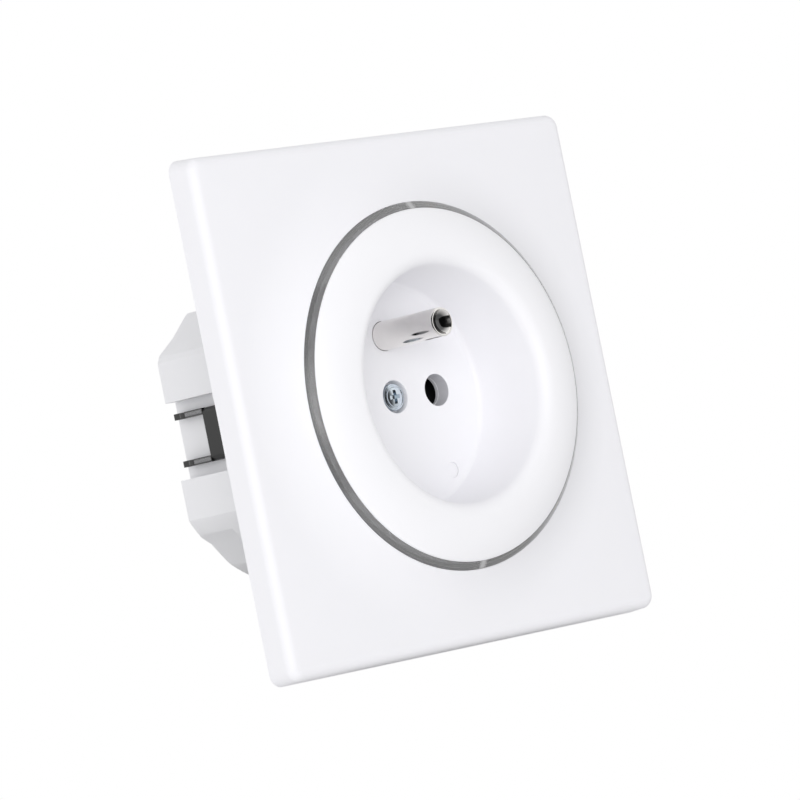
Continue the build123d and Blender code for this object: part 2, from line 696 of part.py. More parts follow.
def body_outline(inset):
    """The body's outline, round with flat sides and top, moved in by inset."""
    Circle(BODY_R - inset)
    with Locations((0, (BODY_TOP_Z - BODY_R) / 2)):
        Rectangle(2 * (BODY_HALF - inset), BODY_TOP_Z + BODY_R - 2 * inset, mode=Mode.INTERSECT)


# Front body: a cup for the insert, the base behind it, and a pocket at each side for a claw
claw_pocket_x = (BODY_R, -POCKET_IN_X)
with BuildPart() as housing_front:
    with BuildSketch(depth(0)):
        Circle(BODY_R)
        Rectangle(2 * BODY_HALF, 2 * BODY_R, mode=Mode.INTERSECT)
    extrude(amount=-BODY_SPLIT_Y)
    block((-BODY_R, BODY_R), (BASE_Y + BODY_WALL, BODY_SPLIT_Y), (BODY_TOP_Z, BODY_R), Mode.SUBTRACT)
    rod(0, 0, INSERT_BORE_R, 0, BASE_Y, Mode.SUBTRACT)
    with BuildSketch(depth(BASE_BACK_Y)):
        body_outline(BODY_WALL)
        for side in SIDES:
            block_in = -POCKET_IN_X - POCKET_WALL
            with Locations((side * (block_in + BODY_R) / 2, 0)):
                Rectangle(BODY_R - block_in, 2 * (POCKET_HALF + POCKET_WALL), mode=Mode.SUBTRACT)
    extrude(amount=BASE_BACK_Y - BODY_SPLIT_Y, mode=Mode.SUBTRACT)
    for spot_x, spot_z in SCREW_SPOTS:
        rod(spot_x, spot_z, BOSS_R, BASE_BACK_Y - CLOSE, BOARD_Y)
        rod(spot_x, spot_z, REAR_SCREW_R + CLOSE, REAR_SCREW_TIP_Y - LOOSE, BOARD_Y, Mode.SUBTRACT)
    for side in SIDES:
        block(
            (side * claw_pocket_x[0], side * claw_pocket_x[1]),
            (POCKET_FRONT_Y, BODY_SPLIT_Y),
            (-POCKET_HALF, POCKET_HALF),
            Mode.SUBTRACT,
        )
        screw_x = -side * CLAW_SCREW_X
        rod(screw_x, 0, CLAW_HEAD_R + SHUTTER_GAP, 0, CLAW_SEAT_Y, Mode.SUBTRACT)
        rod(screw_x, 0, CLAW_SCREW_R + EASY, CLAW_SEAT_Y, POCKET_FRONT_Y, Mode.SUBTRACT)
        with Locations((-side * CLAW_PIVOT_X, CLAW_PIVOT_Y, 0)):
            Cylinder(CLAW_PIN_R + CLOSE / 2, 2 * CLAW_PIN_HALF, mode=Mode.SUBTRACT)
        rod(side * PIN_X, 0, CONTACT_HOLE_R + EASY, SHUTTER_POCKET_Y - LOOSE, BASE_BACK_Y, Mode.SUBTRACT)
        rod(side * LINK_X, LINK_Z, LINK_R + EASY, 0, BASE_BACK_Y, Mode.SUBTRACT)
    # Shutter pocket round the screw pillar, with a groove for the spring
    with BuildSketch(depth(BASE_Y)):
        pocket_top = SHUTTER_TOP + SHUTTER_GAP
        with Locations((0, (pocket_top + POCKET_BOTTOM_Z) / 2)):
            Rectangle(2 * (SHUTTER_HALF + SHUTTER_GAP), pocket_top - POCKET_BOTTOM_Z)
        with Locations((0, (POCKET_BOTTOM_Z + SPRING_SEAT_Z) / 2)):
            Rectangle(2 * (SPRING_R + 2 * SPRING_WIRE_R + EASY), POCKET_BOTTOM_Z - SPRING_SEAT_Z)
        Circle(PILLAR_R, mode=Mode.SUBTRACT)
    extrude(amount=BASE_Y - SHUTTER_POCKET_Y, mode=Mode.SUBTRACT)
    rod(0, 0, FIX_R + EASY, BASE_Y, BASE_BACK_Y, Mode.SUBTRACT)
    rod(0, 0, BUSH_R + CLOSE / 2, BASE_BACK_Y - BUSH_LENGTH, BASE_BACK_Y, Mode.SUBTRACT)
    rod(0, EARTH_Z, EARTH_FLANGE_R + EASY, BASE_Y, BASE_Y + EARTH_FLANGE, Mode.SUBTRACT)
    rod(0, EARTH_Z, EARTH_SHANK_R + CLOSE, BASE_Y, BASE_BACK_Y, Mode.SUBTRACT)
    for spot_x, spot_z in PLATE_SPOTS:
        rod(spot_x, spot_z, PLATE_SCREW_R + CLOSE, 0, PLATE_SCREW_LENGTH + LOOSE, Mode.SUBTRACT)
save(housing_front, "housing_front")


def step_cut(sx, sz, deep, ramp_turn):
    """Step in the rear body's outline at one corner: its foot and two straight sides."""
    foot = Vector(BODY_R - deep, 0).rotate(Axis.Z, STEP_AT)
    reach = Vector(BODY_HALF / 4, 0)
    wall = foot + reach.rotate(Axis.Z, STEP_WALL_TURN)
    ramp = foot + reach.rotate(Axis.Z, ramp_turn)
    far = foot + reach.rotate(Axis.Z, STEP_AT)
    Polygon(*[(sx * c.X, sz * c.Y) for c in (foot, wall, far, ramp)], align=None)


# Rear body: round with flat sides and top, stepped corners and an open channel for each claw
with BuildPart() as housing_rear:
    with BuildSketch(depth(BODY_SPLIT_Y)) as rear_outline:
        body_outline(0)
        fillet(rear_outline.vertices().group_by(Axis.Y)[-1], BODY_TOP_R)
    extrude(amount=BODY_SPLIT_Y - BODY_BACK_Y)
    fillet(housing_rear.faces().sort_by(Axis.Y)[-1].edges(), BODY_EDGE_R)
    with BuildSketch(depth(CLAW_WEB_BACK_Y)):
        for side in SIDES:
            step_cut(side, -1, LOW_STEP, LOW_RAMP_TURN)
            step_cut(side, 1, TOP_STEP, TOP_RAMP_TURN)
    extrude(amount=CLAW_WEB_BACK_Y - BODY_BACK_Y, mode=Mode.SUBTRACT)
    with BuildSketch(depth(BODY_SPLIT_Y)):
        for side in SIDES:
            with Locations((side * (BODY_R - CHANNEL_X) / 2, 0)):
                Rectangle(BODY_R + CHANNEL_X, 2 * CHANNEL_HALF)
    extrude(amount=BODY_SPLIT_Y - BODY_BACK_Y, mode=Mode.SUBTRACT)
    with BuildSketch(depth(BODY_SPLIT_Y)):
        body_outline(BODY_WALL)
        for side in SIDES:
            wall_x = -CHANNEL_X - BODY_WALL + EASY
            with Locations((side * (wall_x + BODY_R) / 2, 0)):
                Rectangle(BODY_R - wall_x, 2 * (CHANNEL_HALF + BODY_WALL), mode=Mode.SUBTRACT)
    extrude(amount=BODY_SPLIT_Y - BACK_WALL_Y, mode=Mode.SUBTRACT)
    for spot_x, spot_z in SCREW_SPOTS:
        rod(spot_x, spot_z, BOSS_R, BOARD_BACK_Y, BACK_WALL_Y + CLOSE)
        rod(spot_x, spot_z, REAR_HEAD_R + EASY, BODY_BACK_Y - REAR_SINK, BODY_BACK_Y, Mode.SUBTRACT)
        rod(spot_x, spot_z, REAR_SCREW_R + EASY, BOARD_BACK_Y, BODY_BACK_Y, Mode.SUBTRACT)
    for wire_x in TERMINAL_X:
        rod(wire_x, WIRE_Z, WIRE_R, BACK_WALL_Y - LOOSE, BODY_BACK_Y, Mode.SUBTRACT)
        with Locations((wire_x, CLAMP_Y, -BODY_R)):
            Cylinder(CLAMP_ACCESS_R, 2 * (BODY_R + TERMINAL_BOTTOM), mode=Mode.SUBTRACT)
save(housing_rear, "housing_rear")

with BuildPart() as housing_screws:
    for spot_x, spot_z in SCREW_SPOTS:
        rod(spot_x, spot_z, REAR_HEAD_R, BODY_BACK_Y - REAR_SINK, BODY_BACK_Y - REAR_SINK + REAR_HEAD)
        rod(spot_x, spot_z, REAR_SCREW_R, REAR_SCREW_TIP_Y, BODY_BACK_Y - REAR_SINK)
    with BuildSketch(depth(BODY_BACK_Y - REAR_SINK + REAR_HEAD)):
        with Locations(*SCREW_SPOTS):
            cross(SMALL_CROSS_LONG, SMALL_CROSS_WIDE)
    extrude(amount=CROSS_DEEP, taper=CROSS_TAPER, mode=Mode.SUBTRACT)
save(housing_screws, "housing_screws")

# Power board, shaped to the rear body, with holes for screws, tails, strap and link pins
tail_z = LEAF_GAP_HALF + LEAF_THICK / 2
with BuildPart() as power_board:
    with BuildSketch(depth(BOARD_Y)):
        body_outline(BODY_WALL + LOOSE)
        for side in SIDES:
            board_in = -CHANNEL_X - BODY_WALL - EASY
            with Locations((side * (board_in + BODY_R) / 2, 0)):
                Rectangle(BODY_R - board_in, 2 * (CHANNEL_HALF + BODY_WALL + EASY), mode=Mode.SUBTRACT)
            for up in SIDES:
                with Locations((side * PIN_X, up * tail_z)):
                    Rectangle(2 * (TAIL_HALF + EASY), LEAF_THICK + 2 * EASY, mode=Mode.SUBTRACT)
            with Locations((side * LINK_X, LINK_Z)):
                Circle(LINK_R + CLOSE, mode=Mode.SUBTRACT)
        with Locations(*SCREW_SPOTS):
            Circle(REAR_SCREW_R + EASY, mode=Mode.SUBTRACT)
        with Locations((0, STRAP_LEG_Z - STRAP_THICK / 2)):
            Rectangle(2 * (STRAP_LEG_HALF + LOOSE), STRAP_THICK + 2 * LOOSE, mode=Mode.SUBTRACT)
    extrude(amount=-BOARD_THICK)
save(power_board, "power_board")

with BuildPart() as relay:
    with BuildSketch(depth(BOARD_Y)):
        with Locations((0, RELAY_Z)):
            Rectangle(RELAY[0], RELAY[2])
    extrude(amount=RELAY[1])
    chamfer(relay.faces().sort_by(Axis.Y)[0].edges(), RELAY_EDGE)
save(relay, "relay")

with BuildPart() as capacitor:
    with BuildSketch(depth(BOARD_Y)):
        with Locations(CAP_AT):
            Circle(CAP_R)
    extrude(amount=BOARD_Y - RELAY_Y)
    fillet(capacitor.faces().sort_by(Axis.Y)[0].edges(), RELAY_EDGE)
save(capacitor, "capacitor")


def pin_contact(side):
    """Folded contact for one plug pin: two leaves with flared mouths, a web and two solder tails."""
    inner = LEAF_GAP_HALF
    outer = LEAF_GAP_HALF + LEAF_THICK
    bend = LEAF_FRONT_Y + LEAF_MOUTH
    half = [
        (LEAF_FRONT_Y, outer + LEAF_FLARE),
        (bend, outer),
        (BOARD_Y, outer),
    ]
    inside = [
        (LEAF_FRONT_Y, inner + LEAF_FLARE),
        (bend, inner),
        (BOARD_Y - LEAF_THICK, inner),
    ]
    ring = half + [(y, -z) for y, z in reversed(half)]
    ring += [(y, -z) for y, z in inside] + list(reversed(inside))
    with BuildPart() as contact:
        with BuildSketch(Plane.YZ.offset(side * PIN_X)):
            with BuildLine():
                Polyline(*ring, close=True)
            make_face()
        extrude(amount=LEAF_HALF, both=True)
        for up in SIDES:
            block(
                (side * PIN_X - TAIL_HALF, side * PIN_X + TAIL_HALF),
                (BOARD_Y - CLOSE, BOARD_Y + TAIL_LONG),
                (up * inner, up * outer),
            )
    return contact


contact_left = pin_contact(-1)
save(contact_left, "contact_left")
contact_right = pin_contact(1)
save(contact_right, "contact_right")


def terminal(x):
    """Wire clamp: a short square tube with a threaded hole below."""
    with BuildPart() as cage:
        with BuildSketch(depth(BOARD_BACK_Y)):
            with Locations((x, (TERMINAL_TOP + TERMINAL_BOTTOM) / 2)):
                Rectangle(2 * TERMINAL_HALF, TERMINAL_TOP - TERMINAL_BOTTOM)
                Rectangle(
                    2 * (TERMINAL_HALF - TERMINAL_WALL),
                    TERMINAL_TOP - TERMINAL_BOTTOM - 2 * TERMINAL_WALL,
                    mode=Mode.SUBTRACT,
                )
        extrude(amount=-TERMINAL_DEEP)
        with Locations((x, CLAMP_Y, TERMINAL_BOTTOM)):
            Cylinder(CLAMP_R + CLOSE, 3 * TERMINAL_WALL, mode=Mode.SUBTRACT)
    return cage


for terminal_name, terminal_x in zip(("terminal_line", "terminal_earth", "terminal_neutral"), TERMINAL_X):
    save(terminal(terminal_x), terminal_name)

with BuildPart() as terminal_screws:
    for clamp_x in TERMINAL_X:
        with Locations((clamp_x, CLAMP_Y, TERMINAL_BOTTOM - CLAMP_HEAD / 2)):
            Cylinder(CLAMP_HEAD_R, CLAMP_HEAD)
        with Locations((clamp_x, CLAMP_Y, (CLAMP_TIP_Z + TERMINAL_BOTTOM) / 2)):
            Cylinder(CLAMP_R, CLAMP_TIP_Z - TERMINAL_BOTTOM)
        slot_z = TERMINAL_BOTTOM - CLAMP_HEAD
        block(
            (clamp_x - CLAMP_HEAD_R, clamp_x + CLAMP_HEAD_R),
            (CLAMP_Y - LOOSE, CLAMP_Y + LOOSE),
            (slot_z, slot_z + CLAMP_HEAD / 2),
            Mode.SUBTRACT,
        )
save(terminal_screws, "terminal_screws")

# Earth strap: riveted to the pin, down the back of the base, then back into its terminal
with BuildPart() as earth_strap:
    strap_foot_z = STRAP_LEG_Z - STRAP_THICK
    block(
        (-STRAP_HALF, STRAP_HALF),
        (BASE_BACK_Y, BASE_BACK_Y + STRAP_THICK),
        (strap_foot_z, STRAP_TOP_Z),
    )
    block(
        (-STRAP_LEG_HALF, STRAP_LEG_HALF),
        (BASE_BACK_Y, STRAP_END_Y),
        (strap_foot_z, STRAP_LEG_Z),
    )
    strap_hole_y = BASE_BACK_Y - CLOSE, BASE_BACK_Y + STRAP_THICK + CLOSE
    rod(0, EARTH_Z, EARTH_STUB_R + CLOSE, *strap_hole_y, Mode.SUBTRACT)
save(earth_strap, "earth_strap")

# Claw on the left: two arms cut from sheet, the web between them and a fork round its screw
web_in_x = CLAW_OUT_X + CLAW_SHEET
arm_in_z = CLAW_HALF - CLAW_SHEET
fork_end_x = CLAW_SCREW_X + FORK_LONG


def on_ear(angle):
    """Point on the round ear at the claw's pivot."""
    turn = radians(angle)
    return CLAW_PIVOT_X + CLAW_EAR_R * cos(turn), CLAW_PIVOT_Y + CLAW_EAR_R * sin(turn)


with BuildPart() as claw_left:
    with BuildSketch(Plane.XY.offset(-CLAW_HALF)) as claw_side:
        with BuildLine():
            Polyline(
                on_ear(CLAW_EAR_FRONT),
                (CLAW_OUT_X, CLAW_WEB_FRONT_Y),
                (CLAW_OUT_X, CLAW_NOTCH_Y - CLAW_NOTCH),
                (CLAW_OUT_X + CLAW_NOTCH, CLAW_NOTCH_Y - CLAW_NOTCH / 4),
                (CLAW_OUT_X, CLAW_NOTCH_Y + CLAW_NOTCH / 2),
                (CLAW_OUT_X, CLAW_TIP_Y),
                (CLAW_ARM_IN_X, CLAW_TIP_Y),
                (CLAW_ARM_IN_X, BODY_SPLIT_Y - LOOSE),
                (CLAW_PIVOT_X + CLAW_HEEL, FORK_Y - POCKET_SIDE),
                on_ear(CLAW_EAR_BACK),
                close=True,
            )
        make_face()
        fillet(claw_side.vertices().group_by(Axis.Y)[-1], CLAW_TIP_R)
        with Locations((CLAW_PIVOT_X, CLAW_PIVOT_Y)):
            Circle(CLAW_EAR_R)
            Circle(CLAW_PIN_R + CLAW_PIN_PLAY, mode=Mode.SUBTRACT)
    extrude(amount=2 * CLAW_HALF)
    block((web_in_x, 0), (0, BODY_BACK_Y), (-arm_in_z, arm_in_z), Mode.SUBTRACT)
    block(
        (CLAW_OUT_X - LOOSE, 0),
        (CLAW_WEB_BACK_Y, BODY_BACK_Y),
        (-arm_in_z, arm_in_z),
        Mode.SUBTRACT,
    )
    block((web_in_x, fork_end_x), (FORK_Y, FORK_Y + CLAW_SHEET), (-arm_in_z, arm_in_z))
    block(
        (CLAW_SCREW_X - CLAW_SCREW_R - FORK_GAP, fork_end_x),
        (FORK_Y, FORK_Y + CLAW_SHEET),
        (-CLAW_SCREW_R - LOOSE, CLAW_SCREW_R + LOOSE),
        Mode.SUBTRACT,
    )
    # Round the two bends on the outside, as far as the web reaches
    with BuildSketch(depth(CLAW_WEB_BACK_Y)):
        bend_x = CLAW_OUT_X + CLAW_BEND_R
        bend_z = CLAW_HALF - CLAW_BEND_R
        for up in SIDES:
            with Locations((bend_x - CLAW_BEND_R / 2, up * (bend_z + CLAW_BEND_R / 2))):
                Rectangle(CLAW_BEND_R, CLAW_BEND_R)
            with Locations((bend_x, up * bend_z)):
                Circle(CLAW_BEND_R, mode=Mode.SUBTRACT)
    extrude(amount=CLAW_WEB_BACK_Y - POCKET_FRONT_Y, mode=Mode.SUBTRACT)
save(claw_left, "claw_left")

with BuildPart() as claw_right:
    add(mirror(claw_left.part, about=Plane.YZ))
save(claw_right, "claw_right")

with BuildPart() as claw_pins:
    with Locations((CLAW_PIVOT_X, CLAW_PIVOT_Y, 0), (-CLAW_PIVOT_X, CLAW_PIVOT_Y, 0)):
        Cylinder(CLAW_PIN_R, 2 * CLAW_PIN_HALF)
save(claw_pins, "claw_pins")

with BuildPart() as claw_screws:
    for side in SIDES:
        rod(side * CLAW_SCREW_X, 0, CLAW_HEAD_R, CLAW_HEAD_Y, CLAW_SEAT_Y)
        rod(side * CLAW_SCREW_X, 0, CLAW_SCREW_R, CLAW_SEAT_Y, NUT_Y + NUT_THICK)
    with BuildSketch(depth(CLAW_HEAD_Y)):
        with Locations((CLAW_SCREW_X, 0), (-CLAW_SCREW_X, 0)):
            cross(CROSS_LONG, CROSS_WIDE)
    extrude(amount=-CROSS_DEEP, taper=CROSS_TAPER, mode=Mode.SUBTRACT)
save(claw_screws, "claw_screws")

with BuildPart() as claw_nuts:
    with BuildSketch(depth(NUT_Y)):
        with Locations((CLAW_SCREW_X, 0), (-CLAW_SCREW_X, 0)):
            Rectangle(NUT_WIDE, 2 * (arm_in_z - LOOSE))
            Circle(CLAW_SCREW_R + CLOSE, mode=Mode.SUBTRACT)
    extrude(amount=-NUT_THICK)
save(claw_nuts, "claw_nuts")
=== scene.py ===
# %% [markdown]
# # A wall socket with an earth pin
# The socket has a square white cover, a clear ring that can glow, a round insert with the plug well,
# and a body that goes into the wall box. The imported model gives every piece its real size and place.
# This lesson dresses it: the pieces that show are turned or folded again as fine meshes, and every
# piece gets a finish made of nodes.

# %% Load the frame
from math import atan2, cos, pi, radians, sin, sqrt

import bmesh
import bpy
from mathutils import Matrix, Vector


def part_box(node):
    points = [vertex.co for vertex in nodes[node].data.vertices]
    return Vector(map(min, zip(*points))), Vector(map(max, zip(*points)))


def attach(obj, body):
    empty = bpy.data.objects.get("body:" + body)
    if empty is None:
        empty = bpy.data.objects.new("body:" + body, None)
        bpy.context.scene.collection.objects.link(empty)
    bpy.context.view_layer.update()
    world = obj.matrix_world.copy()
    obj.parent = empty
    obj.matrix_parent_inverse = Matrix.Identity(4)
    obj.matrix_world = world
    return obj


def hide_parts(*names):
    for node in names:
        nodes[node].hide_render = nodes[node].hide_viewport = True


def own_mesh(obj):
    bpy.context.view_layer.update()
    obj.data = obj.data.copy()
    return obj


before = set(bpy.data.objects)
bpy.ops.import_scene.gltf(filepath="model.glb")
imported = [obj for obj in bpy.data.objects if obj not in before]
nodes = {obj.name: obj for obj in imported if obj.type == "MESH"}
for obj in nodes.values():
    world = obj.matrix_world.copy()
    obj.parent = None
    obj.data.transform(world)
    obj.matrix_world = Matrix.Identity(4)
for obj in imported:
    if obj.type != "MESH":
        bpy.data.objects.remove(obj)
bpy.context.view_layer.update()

# %% [markdown]
# ## Camera
# The picture is taken from the left with a long lens, so the sides of the cover stay nearly parallel.
# A camera can be aimed with a constraint, but a plain turn by azimuth, elevation and roll says the
# same in three numbers that can be read.

# %% Camera
MM = 0.001
CAMERA_AIM = (-0.93, 1.26, -0.73)
CAMERA_AWAY = 900.0
CAMERA_AZIMUTH = radians(-44.04)
CAMERA_ELEVATION = radians(-1.91)
CAMERA_ROLL = radians(-11.40)
CAMERA_LENS = 250.8

camera = bpy.data.objects.new("camera", bpy.data.cameras.new("camera"))
bpy.context.collection.objects.link(camera)
bpy.context.scene.camera = camera
camera.data.lens = CAMERA_LENS
camera.data.clip_start = CAMERA_AWAY * MM / 100
facing = Matrix.Rotation(CAMERA_AZIMUTH, 4, "Z") @ Matrix.Rotation(pi / 2 - CAMERA_ELEVATION, 4, "X")
facing = facing @ Matrix.Rotation(CAMERA_ROLL, 4, "Z")
stand = Vector(CAMERA_AIM) + facing.to_3x3() @ Vector((0, 0, CAMERA_AWAY))
camera.matrix_world = Matrix.Translation(stand * MM) @ facing
bpy.context.scene.view_settings.view_transform = "Standard"
print("camera at", [round(c, 1) for c in stand], "mm")

# %% [markdown]
# ## Sums of sockets
# A finish is a small sum: a base value plus a little noise. Each Math node could be placed by hand,
# but then the sum is lost among links. A class that wraps a socket lets Python's own operators place
# the nodes, so `0.3 + 0.1 * noise` reads as what it does. The same class adds any other node.


# %% Wires
class Wire:
    """A socket of a node tree. Sums of wires add the Math nodes that work them out."""

    def __init__(self, tree, socket=None):
        self.tree = tree
        self.socket = socket

    def node(self, kind, settings=None, sockets=None, out=0):
        """Add a node: its settings first, then the values or links of its inputs."""
        made = self.tree.nodes.new(kind)
        for name, value in (settings or {}).items():
            setattr(made, name, value)
        for key, value in (sockets or {}).items():
            self.feed(made.inputs[key], value)
        return Wire(self.tree, made.outputs[out] if made.outputs else None)

    def feed(self, target, value):
        """Link a wire to an input, or set the input's own value."""
        if isinstance(value, Wire):
            self.tree.links.new(value.socket, target)
        else:
            target.default_value = value

    def maths(self, operation, first, second):
        return self.node("ShaderNodeMath", {"operation": operation}, {0: first, 1: second})

    def __add__(self, other):
        return self.maths("ADD", self, other)

    def __radd__(self, other):
        return self.maths("ADD", other, self)

    def __sub__(self, other):
        return self.maths("SUBTRACT", self, other)

    def __rsub__(self, other):
        return self.maths("SUBTRACT", other, self)

    def __mul__(self, other):
        return self.maths("MULTIPLY", self, other)

    def __rmul__(self, other):
        return self.maths("MULTIPLY", other, self)

    def __gt__(self, other):
        return self.maths("GREATER_THAN", self, other)

    def __lt__(self, other):
        return self.maths("LESS_THAN", self, other)

    def __abs__(self):
        return self.maths("ABSOLUTE", self, 0)


# %% [markdown]
# ## Stage
# The socket is shown against plain white, under soft light that is strongest from the left front.
# White behind it comes from the world as the camera, mirrors and glass see it, at a strength of 1.
# What lights the object is weaker, so white plastic stays below white and keeps its shading.
# The floor lies well below, out of the picture, where a wall socket would have none.

# %% World
SKY_LIGHT = 0.672
world = bpy.data.worlds.new("studio")
bpy.context.scene.world = world
world.use_nodes = True
sky = Wire(world.node_tree)
rays = world.node_tree.nodes.new("ShaderNodeLightPath")
seen = Wire(sky.tree, rays.outputs["Is Camera Ray"])
for ray in ("Is Glossy Ray", "Is Transmission Ray"):
    seen = sky.maths("MAXIMUM", seen, Wire(sky.tree, rays.outputs[ray]))
background = world.node_tree.nodes["Background"]
background.inputs["Color"].default_value = (1, 1, 1, 1)
sky.feed(background.inputs["Strength"], SKY_LIGHT + seen * (1 - SKY_LIGHT))


# %% Lamps
def towards(azimuth, elevation):
    """A turn that carries +Z to a direction given in degrees; azimuth 0 is straight in front."""
    return Matrix.Rotation(radians(azimuth), 4, "Z") @ Matrix.Rotation(pi / 2 - radians(elevation), 4, "X")


def soft_lamp(name, azimuth, elevation, away, size, power):
    """A square soft lamp that points at the middle of the socket."""
    lamp = bpy.data.objects.new(name, bpy.data.lights.new(name, "AREA"))
    bpy.context.collection.objects.link(lamp)
    lamp.data.size = size
    lamp.data.energy = power
    lamp.matrix_world = towards(azimuth, elevation) @ Matrix.Translation((0, 0, away))


soft_lamp("key_lamp", azimuth=-45, elevation=4, away=1.2, size=0.7, power=5.3)
soft_lamp("front_lamp", azimuth=-14, elevation=14, away=1.2, size=0.3, power=0.35)
print(len(bpy.data.lights), "lamps")

# %% Floor
FLOOR_Z = -0.25
FLOOR_R = 1.9
FLOOR_GREY = 0.93
STAGE_ROUGH = 0.9


def stage_finish(name, grey):
    """A dull grey for a thing of the stage."""
    material = bpy.data.materials.new(name)
    material.use_nodes = True
    shader = material.node_tree.nodes["Principled BSDF"]
    shader.inputs["Base Color"].default_value = (grey, grey, grey, 1)
    shader.inputs["Roughness"].default_value = STAGE_ROUGH
    return material, shader


floor_bm = bmesh.new()
bmesh.ops.create_circle(floor_bm, cap_ends=True, segments=96, radius=FLOOR_R)
floor_mesh = bpy.data.meshes.new("floor")
floor_bm.to_mesh(floor_mesh)
floor_bm.free()
floor = bpy.data.objects.new("floor", floor_mesh)
floor.location.z = FLOOR_Z
bpy.context.collection.objects.link(floor)
floor_finish, floor_shader = stage_finish("floor", FLOOR_GREY)
from_below = Wire(floor_finish.node_tree).node("ShaderNodeNewGeometry", out="Backfacing")
from_below.feed(floor_shader.inputs["Alpha"], 1 - from_below)
floor_mesh.materials.append(floor_finish)
print("floor at", FLOOR_Z, "m, see-through from below")

# %% [markdown]
# ## Black cards
# A photographer sets black cards round shiny things, so that their mirrors have something dark to show.
# The large card stands in front and is seen in mirrors alone. The small one lies under and behind the
# body and only keeps light off it. A darker world would change every face; a card changes a few.

# %% Cards
CARD_GREY = 0.02
card_finish, _ = stage_finish("card", CARD_GREY)


def card(name, azimuth, elevation, away, wide, high):
    """A black card of the studio, facing the socket. The camera never sees it."""
    bm = bmesh.new()
    bmesh.ops.create_grid(bm, x_segments=1, y_segments=1, size=0.5)
    mesh = bpy.data.meshes.new(name)
    bm.to_mesh(mesh)
    bm.free()
    made = bpy.data.objects.new(name, mesh)
    bpy.context.collection.objects.link(made)
    made.matrix_world = towards(azimuth, elevation) @ Matrix.Translation((0, 0, away))
    made.scale = (wide, high, 1)
    mesh.materials.append(card_finish)
    made.visible_camera = False
    made.visible_transmission = False
    return made


front_card = card("front_card", azimuth=-30, elevation=-10, away=0.4, wide=1.7, high=1.4)
front_card.visible_diffuse = False
front_card.visible_shadow = False
under_card = card("under_card", azimuth=180, elevation=-68, away=0.054, wide=0.066, high=0.05)
under_card.visible_glossy = False
print("cards:", front_card.name, under_card.name)

# %% [markdown]
# ## Finishes
# Each finish is one Principled shader. Values that are the same all over sit on its own sockets, and
# noise only shifts colour and roughness by a few hundredths and raises a faint bump, as a mould or a
# plating bath leaves it. Patterns are laid in millimetres on the object's own coordinates.


# %% Finish helpers
def millimetres(start):
    """The object's own coordinates, in millimetres."""
    place = start.node("ShaderNodeTexCoord", out="Object")
    return start.node("ShaderNodeMapping", None, {"Vector": place, "Scale": (1 / MM,) * 3})


def new_finish(name, **fixed):
    """A material, its shader and its coordinates in millimetres."""
    material = bpy.data.materials.new(name)
    material.use_nodes = True
    shader = material.node_tree.nodes["Principled BSDF"]
    for key, value in fixed.items():
        shader.inputs[key.replace("_", " ")].default_value = value
    return material, shader, millimetres(Wire(material.node_tree))


def noise(place, scale, detail=3.0, rough=0.5):
    """Noise from 0 to 1, with about `scale` lumps to a millimetre."""
    sockets = {"Vector": place, "Scale": scale, "Detail": detail, "Roughness": rough}
    return place.node("ShaderNodeTexNoise", None, sockets)


def blend(factor, first, second):
    """Two colours mixed by a wire; each is a wire or three numbers."""
    made = factor.tree.nodes.new("ShaderNodeMix")
    made.data_type = "RGBA"
    sockets = {socket.identifier: socket for socket in made.inputs}
    factor.feed(sockets["Factor_Float"], factor)
    for key, colour in (("A_Color", first), ("B_Color", second)):
        factor.feed(sockets[key], colour if isinstance(colour, Wire) else (*colour, 1))
    return Wire(factor.tree, next(o for o in made.outputs if o.identifier == "Result_Color"))


def between(value, low, high):
    """0 below `low`, 1 above `high`, and even in between."""
    return value.node("ShaderNodeMapRange", None, {"Value": value, "From Min": low, "From Max": high})


def axis(place, letter):
    """One coordinate, in millimetres."""
    return place.node("ShaderNodeSeparateXYZ", None, {"Vector": place}, out=letter)


def bump(height, strength, depth):
    """A normal that follows a height, `depth` millimetres from 0 to 1."""
    sockets = {"Height": height, "Strength": strength, "Distance": depth * MM}
    return height.node("ShaderNodeBump", None, sockets)


def moulded(name, colour, rough, grain, depth, tint=None, **fixed):
    """Moulded plastic: even colour, faint flow marks and a fine texture from the mould."""
    material, shader, place = new_finish(name, **fixed)
    flow = noise(place, 0.06, 2)
    fine = noise(place, grain, 2)
    base = blend(flow, [c * 0.985 for c in colour], colour)
    place.feed(shader.inputs["Base Color"], tint(place, base) if tint else base)
    place.feed(shader.inputs["Roughness"], rough + 0.06 * (flow - 0.5) + 0.05 * (fine - 0.5))
    place.feed(shader.inputs["Normal"], bump(fine, 0.35, depth))
    return material


def plated(name, colour, rough, stretch, depth, tint=None, **fixed):
    """Plated metal: tool marks stretched along one way, and cloudy patches in the plating."""
    material, shader, place = new_finish(name, Metallic=1.0, **fixed)
    lines = place.node("ShaderNodeMapping", None, {"Vector": place, "Scale": stretch})
    marks = noise(lines, 1.0, 4, 0.6)
    cloud = noise(place, 0.5, 3)
    base = blend(cloud, [c * 0.93 for c in colour], colour)
    place.feed(shader.inputs["Base Color"], tint(place, base) if tint else base)
    place.feed(shader.inputs["Roughness"], rough + 0.12 * (cloud - 0.5) + 0.1 * (marks - 0.5))
    place.feed(shader.inputs["Normal"], bump(marks, 0.3, depth))
    return material
